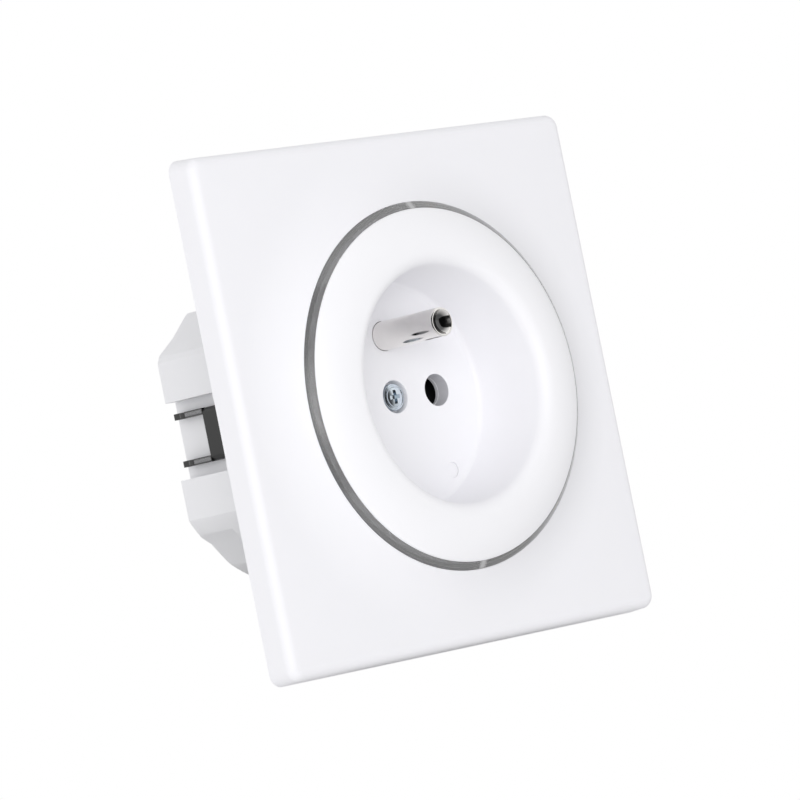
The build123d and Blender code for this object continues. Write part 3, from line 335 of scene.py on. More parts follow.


# %% [markdown]
# ## Plastics
# Moulded plastic is nearly even, so its detail sits in a few places: painted shade on the walls of
# the holes in the well floor, the frosted joints of the clear ring, dyed lenses, tracks under a board's
# lacquer. A painted picture could hold these, but a mask worked out from coordinates needs no file and
# stays sharp at any size.

# %% Plastic tints
WELL_FLOOR = 3.1
# Depth over which the painted shade on the hole walls fades in, and its grey.
HOLE_SHADE_FADE = 0.15
HOLE_SHADE_GREY = (0.62, 0.62, 0.65)
OFF_SCREW = (3, 5)
JOINT_HALF = (0.3, 0.9)
JOINT_FROST = 0.4
LENS_YELLOW = (0.8, 0.62, 0.12)
TRACK_HALF = 0.12
TRACK_PALE = (0.4, 0.45, 0.3)


# Painted shade: the hole walls in the well floor are greyed in their colour where shade would fall.
def painted_hole_shade(place, base):
    """Painted shade: hole walls below the well floor, away from the middle, are greyed as if in shade."""
    wall = 1 - abs(axis(place.node("ShaderNodeNewGeometry", out="Normal"), "Y"))
    sunk = between(axis(place, "Y"), WELL_FLOOR, WELL_FLOOR + HOLE_SHADE_FADE)
    return blend(sunk * wall * between(abs(axis(place, "X")), *OFF_SCREW), base, HOLE_SHADE_GREY)


def frosted_joints(material, colour):
    """The ring's two halves meet at the top and at the bottom, where the plastic is frosted."""
    output = material.node_tree.nodes["Material Output"].inputs["Surface"]
    clear = Wire(material.node_tree, output.links[0].from_socket)
    joint = 1 - between(abs(axis(millimetres(clear), "X")), *JOINT_HALF)
    frost = clear.node("ShaderNodeBsdfPrincipled", None, {"Base Color": (*colour, 1), "Roughness": 0.5})
    sockets = {"Fac": joint * JOINT_FROST, 1: clear, 2: frost}
    clear.feed(output, clear.node("ShaderNodeMixShader", None, sockets))


def yellow_lens(place, base):
    """A chip's lens, marked on its mesh, holds the yellow dye that makes white light."""
    marked = place.node("ShaderNodeAttribute", {"attribute_name": "lens"}, out="Fac")
    return blend(marked, base, LENS_YELLOW)


def tracks(place, base):
    """Copper tracks under a board's lacquer show as a paler net of lines."""
    sockets = {"Vector": place, "Scale": 0.4, "Randomness": 0.6}
    cells = place.node("ShaderNodeTexVoronoi", {"feature": "DISTANCE_TO_EDGE"}, sockets)
    return blend(0.5 * (cells < TRACK_HALF), base, TRACK_PALE)


# %% Plastics
cover_white = moulded("cover_white", (0.925, 0.922, 0.955), rough=0.5, grain=9, depth=0.002, IOR=1.5)
# The insert's hole walls carry painted shade.
insert_white = moulded("insert_white", (0.95, 0.947, 0.975), rough=0.42, grain=9, depth=0.002,
                       tint=painted_hole_shade, IOR=1.5)
body_white = moulded("body_white", (0.89, 0.89, 0.915), rough=0.45, grain=5, depth=0.006, IOR=1.5)
shutter_dark = moulded("shutter_dark", (0.008, 0.008, 0.009), rough=0.6, grain=5, depth=0.006,
                       Specular_IOR_Level=0.15)
ring_clear = moulded("ring_clear", (0.76, 0.76, 0.77), rough=0.14, grain=4, depth=0.0002, IOR=1.49,
                     Transmission_Weight=0.82, Coat_Weight=0.6, Coat_Roughness=0.03)
frosted_joints(ring_clear, (0.85, 0.85, 0.86))
relay_dark = moulded("relay_dark", (0.015, 0.016, 0.018), rough=0.45, grain=6, depth=0.004, IOR=1.5)
capacitor_dark = moulded("capacitor_dark", (0.02, 0.022, 0.03), rough=0.3, grain=4, depth=0.003, IOR=1.5)
chip_white = moulded("chip_white", (0.82, 0.82, 0.8), rough=0.4, grain=6, depth=0.003,
                     tint=yellow_lens, IOR=1.5)
board_white = moulded("board_white", (0.8, 0.8, 0.78), rough=0.4, grain=3, depth=0.004, tint=tracks, IOR=1.5)
board_green = moulded("board_green", (0.03, 0.16, 0.07), rough=0.35, grain=3, depth=0.004,
                      tint=tracks, IOR=1.5)
print(len(bpy.data.materials), "materials with the plastics")

# %% [markdown]
# ## Metals
# Each metal piece was plated, drawn or stamped, and its tool marks run one way. Scratches could be drawn
# one by one, but stretched noise gives the same streaks from one node. The claws' sheared edges have a tint
# of their own, and the hollow in the pin's end gets painted shade that darkens with depth.

# %% Metal tints
EARTH_Z = 10.0
PIN_TIP = -10.9
DIMPLE_R = 2.05
# Depths and grey of the painted shade in the pin's hollow.
HOLLOW_SHADE_FADE = (PIN_TIP + 0.1, PIN_TIP + 0.7)
HOLLOW_SHADE_GREY = (0.1, 0.1, 0.1)
SHEET_IN = (3.45, 3.7)
SHEET_OUT = (4.1, 4.35)
ARM_START = (23.9, 24.2)
ARM_END = (28.8, 29.6)
ARM_OUTSIDE = 23.1
TORN_STRETCH = (9, 5, 14)
TORN_GREY = (0.4, 0.4, 0.41)


def sheared_edges(place, base):
    """The claws' cut edges: grainy and pale in the middle of the sheet, dark at both faces."""
    across = abs(axis(place, "Z"))
    along = axis(place, "Y")
    middle = between(across, *SHEET_IN) * (1 - between(across, *SHEET_OUT))
    arm = between(along, *ARM_START) * (1 - between(along, *ARM_END))
    outside = abs(axis(place, "X")) > ARM_OUTSIDE
    torn = place.node("ShaderNodeMapping", None, {"Vector": place, "Scale": TORN_STRETCH})
    grain = between(noise(torn, 1.0, 2), 0.2, 0.75)
    return blend(middle * arm * outside * grain, base, TORN_GREY)


# Painted shade: the pin's hollow is darkened in its colour where shade and dark reflections would fall.
def painted_hollow_shade(place, base):
    """Painted shade in the hollow of the pin's end: its colour darkens with depth, as if in shade."""
    flat = place.node("ShaderNodeVectorMath", {"operation": "MULTIPLY"}, {0: place, 1: (1, 0, 1)})
    from_line = place.node("ShaderNodeVectorMath", {"operation": "DISTANCE"},
                           {0: flat, 1: (0, 0, EARTH_Z)}, out="Value")
    deep = between(axis(place, "Y"), *HOLLOW_SHADE_FADE)
    return blend(deep * (from_line < DIMPLE_R), base, HOLLOW_SHADE_GREY)


# %% Metals
# The pin's hollow carries painted shade.
pin_nickel = plated("pin_nickel", (0.88, 0.86, 0.84), rough=0.09, stretch=(0.4, 12, 0.4), depth=0.0004,
                    tint=painted_hollow_shade)
screw_zinc = plated("screw_zinc", (0.7, 0.77, 0.83), rough=0.2, stretch=(3, 3, 3), depth=0.003)
claw_steel = plated("claw_steel", (0.07, 0.07, 0.07), rough=0.4, stretch=(1, 4, 4), depth=0.006,
                    tint=sheared_edges)
plate_steel = plated("plate_steel", (0.58, 0.6, 0.6), rough=0.38, stretch=(6, 1, 1), depth=0.003)
spring_steel = plated("spring_steel", (0.5, 0.5, 0.49), rough=0.3, stretch=(3, 3, 3), depth=0.002)
contact_brass = plated("contact_brass", (0.72, 0.5, 0.2), rough=0.3, stretch=(1, 6, 1), depth=0.002)
link_tin = plated("link_tin", (0.75, 0.75, 0.74), rough=0.35, stretch=(3, 3, 3), depth=0.002)
print(len(bpy.data.materials), "materials with the metals")

# %% [markdown]
# ## Turned forms
# The cover's mound, the ring, the insert and the pin are all round, so each is an outline turned about
# a line along Y. Screw modifiers can do that, but plain rings of points give exact sizes and let one
# skin run from a square rim to a round mouth. An outline is a list of corners with their own radii.


# %% Rings and skins
ROUND_STEPS = 256
SMALL_STEPS = 72
ARC_STEP = radians(9)


def steps(first, last, count):
    """Evenly spaced values, both ends included."""
    return [first + (last - first) * k / count for k in range(count + 1)]


def arc(middle, radius, first, last):
    """Points of an arc in the (r, y) plane; angles in degrees from +r towards +y."""
    count = max(3, round(abs(radians(last - first)) / ARC_STEP))
    return [(middle[0] + radius * cos(a), middle[1] + radius * sin(a))
            for a in steps(radians(first), radians(last), count)]


def rounded(corners):
    """An outline through corners (r, y, radius), each rounded by its radius."""
    points = []
    for k, (r, y, radius) in enumerate(corners):
        here = Vector((r, y))
        if radius == 0 or k in (0, len(corners) - 1):
            points.append((r, y))
            continue
        back = (Vector(corners[k - 1][:2]) - here).normalized()
        ahead = (Vector(corners[k + 1][:2]) - here).normalized()
        half = back.angle(ahead) / 2
        middle = here + (back + ahead).normalized() * radius / sin(half)
        reach = sqrt((middle - here).length_squared - radius**2)
        start = here + back * reach - middle
        sweep = (here + ahead * reach - middle).angle_signed(start)
        count = max(2, round(abs(sweep) / ARC_STEP))
        for a in steps(0, sweep, count):
            turned = Vector((start.x * cos(a) - start.y * sin(a), start.x * sin(a) + start.y * cos(a)))
            points.append(tuple(middle + turned))
    return points


def even(count=ROUND_STEPS):
    """Angles once round."""
    return [2 * pi * k / count for k in range(count)]


def circle(radius, y, angles, at=(0, 0)):
    """A ring of points round a line along Y; radius 0 gives one point."""
    if radius < 1e-6:
        return [(at[0], y, at[1])]
    return [(at[0] + radius * cos(a), y, at[1] + radius * sin(a)) for a in angles]


def skin(bm, rings, loop=False):
    """Faces from each ring of points to the next, and on to the first again for a loop."""
    made = [[bm.verts.new(Vector(p) * MM) for p in ring] for ring in rings]
    ahead = made[1:] + made[:1] if loop else made[1:]
    for near, far in zip(made, ahead):
        count = max(len(near), len(far))
        for k in range(count):
            after = (k + 1) % count
            corners = [near[k], near[after]] if len(near) > 1 else [near[0]]
            corners += [far[after], far[k]] if len(far) > 1 else [far[0]]
            bm.faces.new(corners)
    return made


def turn(bm, outline, angles, at=(0, 0), loop=False):
    """An outline of (r, y) points turned once round."""
    return skin(bm, [circle(r, y, angles, at) for r, y in outline], loop)


def fill(bm, *rings):
    """A flat face bounded by rings of vertices, with holes."""
    edges = []
    for ring in rings:
        for pair in zip(ring[-1:] + ring[:-1], ring):
            edges.append(bm.edges.get(pair) or bm.edges.new(pair))
    bmesh.ops.triangle_fill(bm, use_beauty=True, use_dissolve=False, edges=edges)


def closed(bm, rings):
    """A skin over rings of points, with a flat face at each end."""
    made = skin(bm, rings)
    bm.faces.new(made[0])
    bm.faces.new(made[-1])


SQUARE = ((-1, -1), (1, -1), (1, 1), (-1, 1))


def prism(bm, corners, near, far):
    """A closed block with the given (x, z) corners, from one depth to another."""
    closed(bm, [[(x, y, z) for x, z in corners] for y in (near, far)])


def dome(r, rise, y, count=8):
    """Points of a domed head, from its middle at depth y to its rim."""
    ball = (r**2 + rise**2) / (2 * rise)
    return [(r * t, y + ball - sqrt(ball**2 - (r * t) ** 2)) for t in steps(0, 1, count)]


# %% [markdown]
# ## Pieces
# A skin becomes an object, shaded smooth but for its sharp edges. Modifiers do the cutting and rounding,
# and what they make is kept as a plain mesh, so nothing is left to work out later. Each finished piece
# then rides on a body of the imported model, in place of the node that it stands for.

# %% Pieces
SHARP = radians(35)


def meshed(bm, name, sharp=SHARP):
    """An object from a mesh under work, smooth but for its sharp edges."""
    bmesh.ops.recalc_face_normals(bm, faces=bm.faces)
    mesh = bpy.data.meshes.new(name)
    bm.to_mesh(mesh)
    bm.free()
    mesh.shade_smooth()
    mesh.set_sharp_from_angle(angle=sharp)
    made = bpy.data.objects.new(name, mesh)
    bpy.context.collection.objects.link(made)
    return made


def applied(made, sharp):
    """Keep what an object's modifiers make as its own plain mesh."""
    graph = bpy.context.evaluated_depsgraph_get()
    mesh = bpy.data.meshes.new_from_object(made.evaluated_get(graph))
    made.modifiers.clear()
    made.data = mesh
    mesh.set_sharp_from_angle(angle=sharp)


def cut(made, cutter, sharp=SHARP):
    """Take the cutter out of a piece for good, then remove the cutter."""
    modifier = made.modifiers.new("cut", "BOOLEAN")
    modifier.operation = "DIFFERENCE"
    modifier.solver = "EXACT"
    modifier.use_self = True
    modifier.object = cutter
    applied(made, sharp)
    bpy.data.objects.remove(cutter)


def seat(made, node, body="socket"):
    """Let an object ride on its body in place of a CAD node."""
    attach(made, body)
    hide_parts(node)
    print(f"{made.name}: {len(made.data.polygons)} faces for {node}")


def piece(bm, name, finish, node, cutter=None):
    """A finished piece of the socket from a mesh under work, less a cutter."""
    made = meshed(bm, name)
    made.data.materials.append(finish)
    if cutter:
        cut(made, cutter)
    seat(made, node)


# %% [markdown]
# ## Cover
# The cover is a shallow square shell with rounded front edges. In its middle a dished mound rises to
# the ring, tangent to the flat at its foot. A square and a circle can share one skin when all rings
# have the same number of points, so the rim, the flat and the mound are one run of rings.

# %% Cover sizes
COVER_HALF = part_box("cover_frame")[1].x / MM
COVER_DEPTH = 5.3
COVER_SET_IN = 0.4
COVER_CORNER = 2.2
COVER_EDGE = 1.7
COVER_WALL = 2.1
COVER_SKIN = 1.9
COVER_SIDE_STEPS = 56
COVER_CORNER_STEPS = 12
COVER_EDGE_STEPS = 10
CORNER_SHARE = 0.9
INNER_CHAMFER = 0.15
FOOT_CHAMFER = 0.2
MOUND_FOOT = 39.5
MOUND_MOUTH = 30.02
MOUND_TOP = -8.5
MOUND_STEPS = 20
MOUTH_EDGE = 0.06
RING_SEAT = -7.0
LIP_R = 29.5
LIP_BACK = -5.4
ROOM_IN = 31.95
ROOM_BEND = (33.36, -4.225)
ROOM_OUT = 37.6
POST_AT = 31.5
POST_R = 2.5
POST_FOOT = -1.2
POST_EDGE = 0.2
POST_SUNK = 0.05


def square(half, corner, y):
    """A square with rounded corners, with the same number of points at any size."""
    points = []
    flat = half - corner
    for quarter in range(4):
        side = [(half, flat * t) for t in steps(-1, 1, COVER_SIDE_STEPS)[:-1]]
        bend = [(flat + corner * cos(a), flat + corner * sin(a))
                for a in steps(0, pi / 2, COVER_CORNER_STEPS)]
        c, s = round(cos(quarter * pi / 2)), round(sin(quarter * pi / 2))
        points += [(x * c - z * s, y, x * s + z * c) for x, z in side + bend]
    return points


# %% Cover outline
mound_run = MOUND_FOOT - MOUND_MOUTH
mound_rise = -MOUND_TOP - COVER_DEPTH
mound_r = (mound_run**2 + mound_rise**2) / (2 * mound_rise)
mound_turn = 2 * atan2(mound_rise, mound_run)
cover_under = COVER_SKIN - COVER_DEPTH

mound = [(MOUND_FOOT - mound_r * sin(t), -COVER_DEPTH - mound_r * (1 - cos(t)))
         for t in steps(0, mound_turn, MOUND_STEPS)]
mouth = rounded([
    (*mound[-2], 0), (*mound[-1], MOUTH_EDGE), (MOUND_MOUTH, RING_SEAT, 0), (LIP_R, RING_SEAT, 0),
    (LIP_R, LIP_BACK, 0),
])
room = [(ROOM_IN, LIP_BACK), ROOM_BEND, (ROOM_OUT, cover_under)]
print(f"mound of radius {mound_r:.1f} mm, {len(mouth)} points at its mouth")

# %% Cover mesh
cover_angles = [atan2(z, x) for x, _, z in square(COVER_HALF, COVER_CORNER, 0)]
inner_half = COVER_HALF - COVER_WALL
edge_mid = COVER_DEPTH - COVER_EDGE
cover_rings = [circle(r, y, cover_angles) for r, y in mound[:-2] + mouth + room]
cover_rings += [square(half, COVER_CORNER, y) for half, y in (
    (inner_half, cover_under), (inner_half, -INNER_CHAMFER), (inner_half + INNER_CHAMFER, 0),
    (COVER_HALF - FOOT_CHAMFER, 0), (COVER_HALF, -FOOT_CHAMFER),
)]
for a in steps(0, pi / 2, COVER_EDGE_STEPS):
    back = COVER_EDGE * (1 - cos(a))
    out = COVER_HALF - COVER_SET_IN * edge_mid / COVER_DEPTH - back
    cover_rings.append(square(out, COVER_CORNER - back * CORNER_SHARE, -edge_mid - COVER_EDGE * sin(a)))
cover_bm = bmesh.new()
skin(cover_bm, cover_rings, loop=True)
post = rounded([
    (0, POST_FOOT, 0), (POST_R, POST_FOOT, POST_EDGE), (POST_R, cover_under - POST_SUNK, 0),
    (0, cover_under - POST_SUNK, 0),
])
for post_x in (-POST_AT, POST_AT):
    for post_z in (-POST_AT, POST_AT):
        turn(cover_bm, post, even(SMALL_STEPS), (post_x, post_z))
piece(cover_bm, "cover", cover_white, "cover_frame")

# %% [markdown]
# ## Clear ring
# Between the cover and the insert sits a ring of clear plastic, whose sloped face carries the light of
# small chips underneath. It is a solid of glass-like plastic with a skirt: the shader bends light at
# its faces, so it looks dark where the eye goes down into it and bright where it mirrors. Four keyways
# in the skirt's foot are cut out with a Boolean, since a turned outline can't have them.

# %% Clear ring mesh
RING_IN = 28.78
RING_OUT = 29.99
RING_IN_Y = -9.55
RING_OUT_Y = -8.55
RING_SKIRT = 29.3
RING_FLANGE = 27.0
RING_FLANGE_Y = -7.9
RING_FOOT = -3.2
RING_EDGE = 0.05
FOOT_EDGE = 0.08
KEY_WIDE = 3.0
KEY_DEEP = 1.4
ring_slope = ((RING_IN + RING_OUT) / 2, (RING_IN_Y + RING_OUT_Y) / 2, 0)
ring_outline = rounded([
    ring_slope, (RING_OUT, RING_OUT_Y, MOUTH_EDGE), (RING_OUT, RING_SEAT, RING_EDGE),
    (RING_SKIRT, RING_SEAT, RING_EDGE), (RING_SKIRT, RING_FOOT, FOOT_EDGE), (RING_IN, RING_FOOT, FOOT_EDGE),
    (RING_IN, RING_SEAT, RING_EDGE), (RING_FLANGE, RING_SEAT, RING_EDGE),
    (RING_FLANGE, RING_FLANGE_Y, RING_EDGE), (RING_IN, RING_FLANGE_Y, RING_EDGE),
    (RING_IN, RING_IN_Y, RING_EDGE), ring_slope,
])[:-1]
ring_bm = bmesh.new()
turn(ring_bm, ring_outline, even(), loop=True)
key_bm = bmesh.new()
for key_x, key_z in ((RING_IN, 0), (0, RING_IN), (-RING_IN, 0), (0, -RING_IN)):
    key = [(key_x + KEY_WIDE / 2 * sx, key_z + KEY_WIDE / 2 * sz) for sx, sz in SQUARE]
    prism(key_bm, key, RING_FOOT - KEY_DEEP, RING_FOOT + KEY_DEEP)
piece(ring_bm, "clear_ring", ring_clear, "light_ring", meshed(key_bm, "keys"))

# %% [markdown]
# ## Insert
# The insert is the round middle: a rolled lip, a well that takes the plug's face, and a floor with
# holes for two pins, the earth pin and the fixing screw. The lip and well are turned. The floor is a
# flat face filled between the rims of its holes, so no cutter leaves ragged edges.

# %% Insert sizes
WELL_BACK = 6.0
WELL_MOUTH = 19.35
WELL_FOOT = 18.87
WELL_CORNER = 0.9
LIP_ROLL = 2.25
LIP_CROWN = -11.9
INSERT_EDGE = 28.75
INSERT_EDGE_Y = -9.55
INSERT_EDGE_RUN = 0.15
INSERT_EDGE_DROP = 0.03
INSERT_EDGE_R = 0.08
INSERT_RIM_Y = -7.9
INSERT_FLANGE = 27.0
INSERT_SKIN = 1.8
PIN_X = 9.5
PIN_R = 2.4
PIN_PLAY = 0.05
PIN_RIM_PLAY = 0.06
HOLE_R = 2.65
HOLE_STEP_R = 2.42
HOLE_STEP_Y = 5.4
HOLE_STEP_WALL = 0.1
HOLE_STEP_EDGE = 0.02
HOLE_RIM = 0.1
SLOT_BACK = WELL_BACK - 0.05
MARK_R = 1.3
MARK_Z = -13.3
MARK_DEEP = 0.25
SCREW_RECESS_R = 2.7
SCREW_RECESS_Y = 5.0
SCREW_HOLE_R = 1.7

# %% Insert skin
lip_r = WELL_MOUTH + LIP_ROLL
lip_y = LIP_CROWN + LIP_ROLL
face_run = INSERT_EDGE - lip_r
face_drop = INSERT_EDGE_Y - LIP_CROWN
face_r = (face_run**2 + face_drop**2) / (2 * face_drop)
face_y = LIP_CROWN + face_r


def on_face(r, inset):
    """Depth of the lip's outer face, or of its inside, at radius r."""
    return face_y - sqrt((face_r - inset) ** 2 - (r - lip_r) ** 2)


edge_start = INSERT_EDGE - INSERT_EDGE_RUN
well = [(WELL_FOOT - WELL_CORNER, WELL_FLOOR)]
well += arc((WELL_FOOT - WELL_CORNER, WELL_FLOOR - WELL_CORNER), WELL_CORNER, 90, 0)[1:]
well += arc((lip_r, lip_y), LIP_ROLL, 180, 270)
well += [(r, on_face(r, 0)) for r in steps(lip_r, edge_start, 24)[1:]]
well += rounded([
    (edge_start, on_face(edge_start, 0), 0), (INSERT_EDGE, INSERT_EDGE_Y + INSERT_EDGE_DROP, INSERT_EDGE_R),
    (INSERT_EDGE, INSERT_RIM_Y, 0), (INSERT_FLANGE, INSERT_RIM_Y, 0),
    (INSERT_FLANGE, on_face(INSERT_FLANGE, INSERT_SKIN), 0),
])[1:]
well += [(r, on_face(r, INSERT_SKIN)) for r in steps(INSERT_FLANGE, lip_r, 12)[1:]]
well += arc((lip_r, lip_y), LIP_ROLL - INSERT_SKIN, 270, 180)[1:]
well.append((WELL_FOOT + INSERT_SKIN, WELL_BACK))
insert_bm = bmesh.new()
well_rings = turn(insert_bm, well, even())
print(f"lip face of radius {face_r:.1f} mm, {len(well)} rings")


# %% Insert floor
def hole(bm, at, outline):
    """A turned hole in the floor; gives its rings of vertices."""
    return turn(bm, outline, even(SMALL_STEPS), at)


contact_outline = rounded([
    (HOLE_R + 2 * HOLE_RIM, WELL_FLOOR, 0), (HOLE_R, WELL_FLOOR, HOLE_RIM), (HOLE_R, SLOT_BACK, 0),
    (HOLE_STEP_R + HOLE_STEP_WALL, SLOT_BACK, 0), (HOLE_STEP_R + HOLE_STEP_WALL, HOLE_STEP_Y, HOLE_STEP_EDGE),
    (HOLE_STEP_R, HOLE_STEP_Y, HOLE_STEP_EDGE), (HOLE_STEP_R, WELL_BACK, 0),
])
earth_outline = [
    (PIN_R + PIN_RIM_PLAY, WELL_FLOOR), (PIN_R + PIN_PLAY, WELL_FLOOR + 0.01),
    (PIN_R + PIN_PLAY, WELL_BACK),
]
screw_outline = rounded([
    (SCREW_RECESS_R + 2 * HOLE_RIM, WELL_FLOOR, 0), (SCREW_RECESS_R, WELL_FLOOR, HOLE_RIM),
    (SCREW_RECESS_R, SCREW_RECESS_Y, 0.1), (SCREW_HOLE_R, SCREW_RECESS_Y, 0.05), (SCREW_HOLE_R, WELL_BACK, 0),
])
mark_outline = rounded([
    (MARK_R + 0.1, WELL_FLOOR, 0), (MARK_R, WELL_FLOOR, 0.05), (MARK_R, WELL_FLOOR + MARK_DEEP, 0.08),
    (0, WELL_FLOOR + MARK_DEEP, 0),
])
through = [hole(insert_bm, (side * PIN_X, 0), contact_outline) for side in (-1, 1)]
through.append(hole(insert_bm, (0, EARTH_Z), earth_outline))
through.append(hole(insert_bm, (0, 0), screw_outline))
marks = [hole(insert_bm, (side * PIN_X, MARK_Z), mark_outline) for side in (-1, 1)]
fill(insert_bm, well_rings[0], *[rings[0] for rings in through + marks])
fill(insert_bm, well_rings[-1], *[rings[-1] for rings in through])
piece(insert_bm, "insert", insert_white, "socket_insert")

# %% [markdown]
# ## Earth pin and fixing screw
# The pin is turned and nickel plated, with a rounded edge and a hollow in its end. The screw's head is
# turned, and its cross is cut out with a tapered cutter, which a Boolean does exactly.

# %% Earth pin mesh
PIN_EDGE = 0.22
DIMPLE_DEEP = 1.0
DIMPLE_STEPS = 14
DIMPLE_EDGE = 0.06
PIN_SHOULDER = 3.6
SHANK_R = 2.15
FLANGE_R = 3.7
FLANGE_BACK = 7.5
FLANGE_EDGE = 0.1
BASE_BACK = 11.0
STUB_R = 1.8
STRAP_BACK = 11.8
RIVET_R = 2.5
RIVET_TIP_R = 2.25
RIVET_TIP = 12.3
dimple_ball = (DIMPLE_R**2 + DIMPLE_DEEP**2) / (2 * DIMPLE_DEEP)
pin_outline = []
for t in steps(0, 1, DIMPLE_STEPS)[:-1]:
    r = DIMPLE_R * t
    pin_outline.append((r, PIN_TIP + DIMPLE_DEEP - dimple_ball + sqrt(dimple_ball**2 - r**2)))
pin_outline += rounded([
    (*pin_outline[-1], 0), (DIMPLE_R, PIN_TIP, DIMPLE_EDGE), (PIN_R, PIN_TIP, PIN_EDGE),
    (PIN_R, PIN_SHOULDER, 0.05), (SHANK_R, PIN_SHOULDER, 0), (SHANK_R, WELL_BACK, 0),
    (FLANGE_R, WELL_BACK, FLANGE_EDGE), (FLANGE_R, FLANGE_BACK, FLANGE_EDGE), (SHANK_R, FLANGE_BACK, 0),
    (SHANK_R, BASE_BACK, 0), (STUB_R, BASE_BACK, 0), (STUB_R, STRAP_BACK, 0), (RIVET_R, STRAP_BACK, 0.1),
    (RIVET_TIP_R, RIVET_TIP, 0.15), (0, RIVET_TIP, 0),
])[1:]
pin_bm = bmesh.new()
turn(pin_bm, pin_outline, even(SMALL_STEPS * 2), (0, EARTH_Z))
piece(pin_bm, "pin", pin_nickel, "earth_pin")

# %% Fixing screw mesh
SCREW_HEAD_R = 2.2
SCREW_TOP = 3.1
SCREW_RIM_Y = 3.45
SCREW_RIM_EDGE = 0.15
SCREW_R = 1.5
SCREW_TAPER = 9.95
SCREW_TIP_R = 1.0
SCREW_TIP = 10.45
CROSS_LONG = 2.6
CROSS_WIDE = 0.7
CROSS_DEEP = 1.0
CROSS_OVER = 0.3
CROSS_TAPER = 0.55
RING_MARK_R = 1.75
RING_MARK_WIDE = 0.12
RING_MARK_DEEP = 0.1


def cross_cutter(name, long, wide, top, deep):
    """A tapered cross that points into the wall."""
    bm = bmesh.new()
    for angle in (0, pi / 2):
        c, s = cos(angle), sin(angle)
        rings = []
        for y, share in ((top, 1.0), (top + deep, CROSS_TAPER)):
            bar = [(long / 2 * share * sx, wide / 2 * (share + 1) / 2 * sz) for sx, sz in SQUARE]
            rings.append([(x * c - z * s, y, x * s + z * c) for x, z in bar])
        closed(bm, rings)
    return meshed(bm, name)


screw_top = [(r, y + RING_MARK_DEEP * (abs(r - RING_MARK_R) < RING_MARK_WIDE))
             for r, y in dome(SCREW_HEAD_R, SCREW_RIM_Y - SCREW_TOP, SCREW_TOP, 24)]
screw_body = screw_top[:-1] + rounded([
    (*screw_top[-2], 0), (*screw_top[-1], SCREW_RIM_EDGE), (SCREW_HEAD_R, SCREW_RECESS_Y, 0.05),
    (SCREW_R, SCREW_RECESS_Y, 0), (SCREW_R, SCREW_TAPER, 0), (SCREW_TIP_R, SCREW_TIP, 0), (0, SCREW_TIP, 0),
])[1:]
screw_bm = bmesh.new()
turn(screw_bm, screw_body, even(SMALL_STEPS * 2))
well_cross = cross_cutter("cross", CROSS_LONG, CROSS_WIDE, SCREW_TOP - CROSS_OVER, CROSS_DEEP + CROSS_OVER)
piece(screw_bm, "well_screw", screw_zinc, "fixing_screw", well_cross)

# %% [markdown]
# ## Body, claws and plate
# These were cut and folded with plain edges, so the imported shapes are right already. A copy of each is
# merged and given a narrow bevel, because a real edge always has a small radius that catches light.

# %% Bevelled copies
FOLD = radians(11)
CORNER = radians(30)
MERGE = 0.002
FLAT = radians(0.4)


def copied(node, name, finish):
    """A merged copy of a CAD node."""
    bm = bmesh.new()
    bm.from_mesh(nodes[node].data)
    bmesh.ops.remove_doubles(bm, verts=bm.verts, dist=MERGE * MM)
    bmesh.ops.dissolve_limit(bm, angle_limit=FLAT, verts=bm.verts, edges=bm.edges)
    made = meshed(bm, name, FOLD)
    made.data.materials.clear()
    made.data.materials.append(finish)
    return made


def bevel(made, width):
    """Round the corners of a piece by `width` millimetres, for good."""
    edge = made.modifiers.new("edge", "BEVEL")
    edge.width = width * MM
    edge.segments = 2
    edge.limit_method = "ANGLE"
    edge.angle_limit = CORNER
    edge.use_clamp_overlap = True
    applied(made, FOLD)


# %% [markdown]
# ## Corner steps
# The body is stepped in at its upper corners, and the step runs on towards the cover. The copies could be
# modelled again with it, but one prism with the step's outline, taken out of both bodies, does the same.

# %% Bodies
STEP_CORNERS = ((18.73, 16.86), (23.52, 13.5), (23.07, 20.78), (14.38, 20.776))
REAR_STEP = (20.4, 24.0)
FRONT_STEP = (14.0, 20.6)
REAR_EDGE = 0.2
FRONT_EDGE = 0.1


def corner_cutter(side, near, far):
    """A prism that carries the step of an upper corner on towards the front."""
    bm = bmesh.new()
    prism(bm, [(side * x, z) for x, z in STEP_CORNERS], near, far)
    return meshed(bm, "corner")


front_body = copied("housing_front", "front_body", body_white)
rear_body = copied("housing_rear", "rear_body", body_white)
for side in (-1, 1):
    cut(rear_body, corner_cutter(side, *REAR_STEP), FOLD)
    cut(front_body, corner_cutter(side, *FRONT_STEP), FOLD)
bevel(rear_body, REAR_EDGE)
bevel(front_body, FRONT_EDGE)
seat(front_body, "housing_front")
seat(rear_body, "housing_rear")

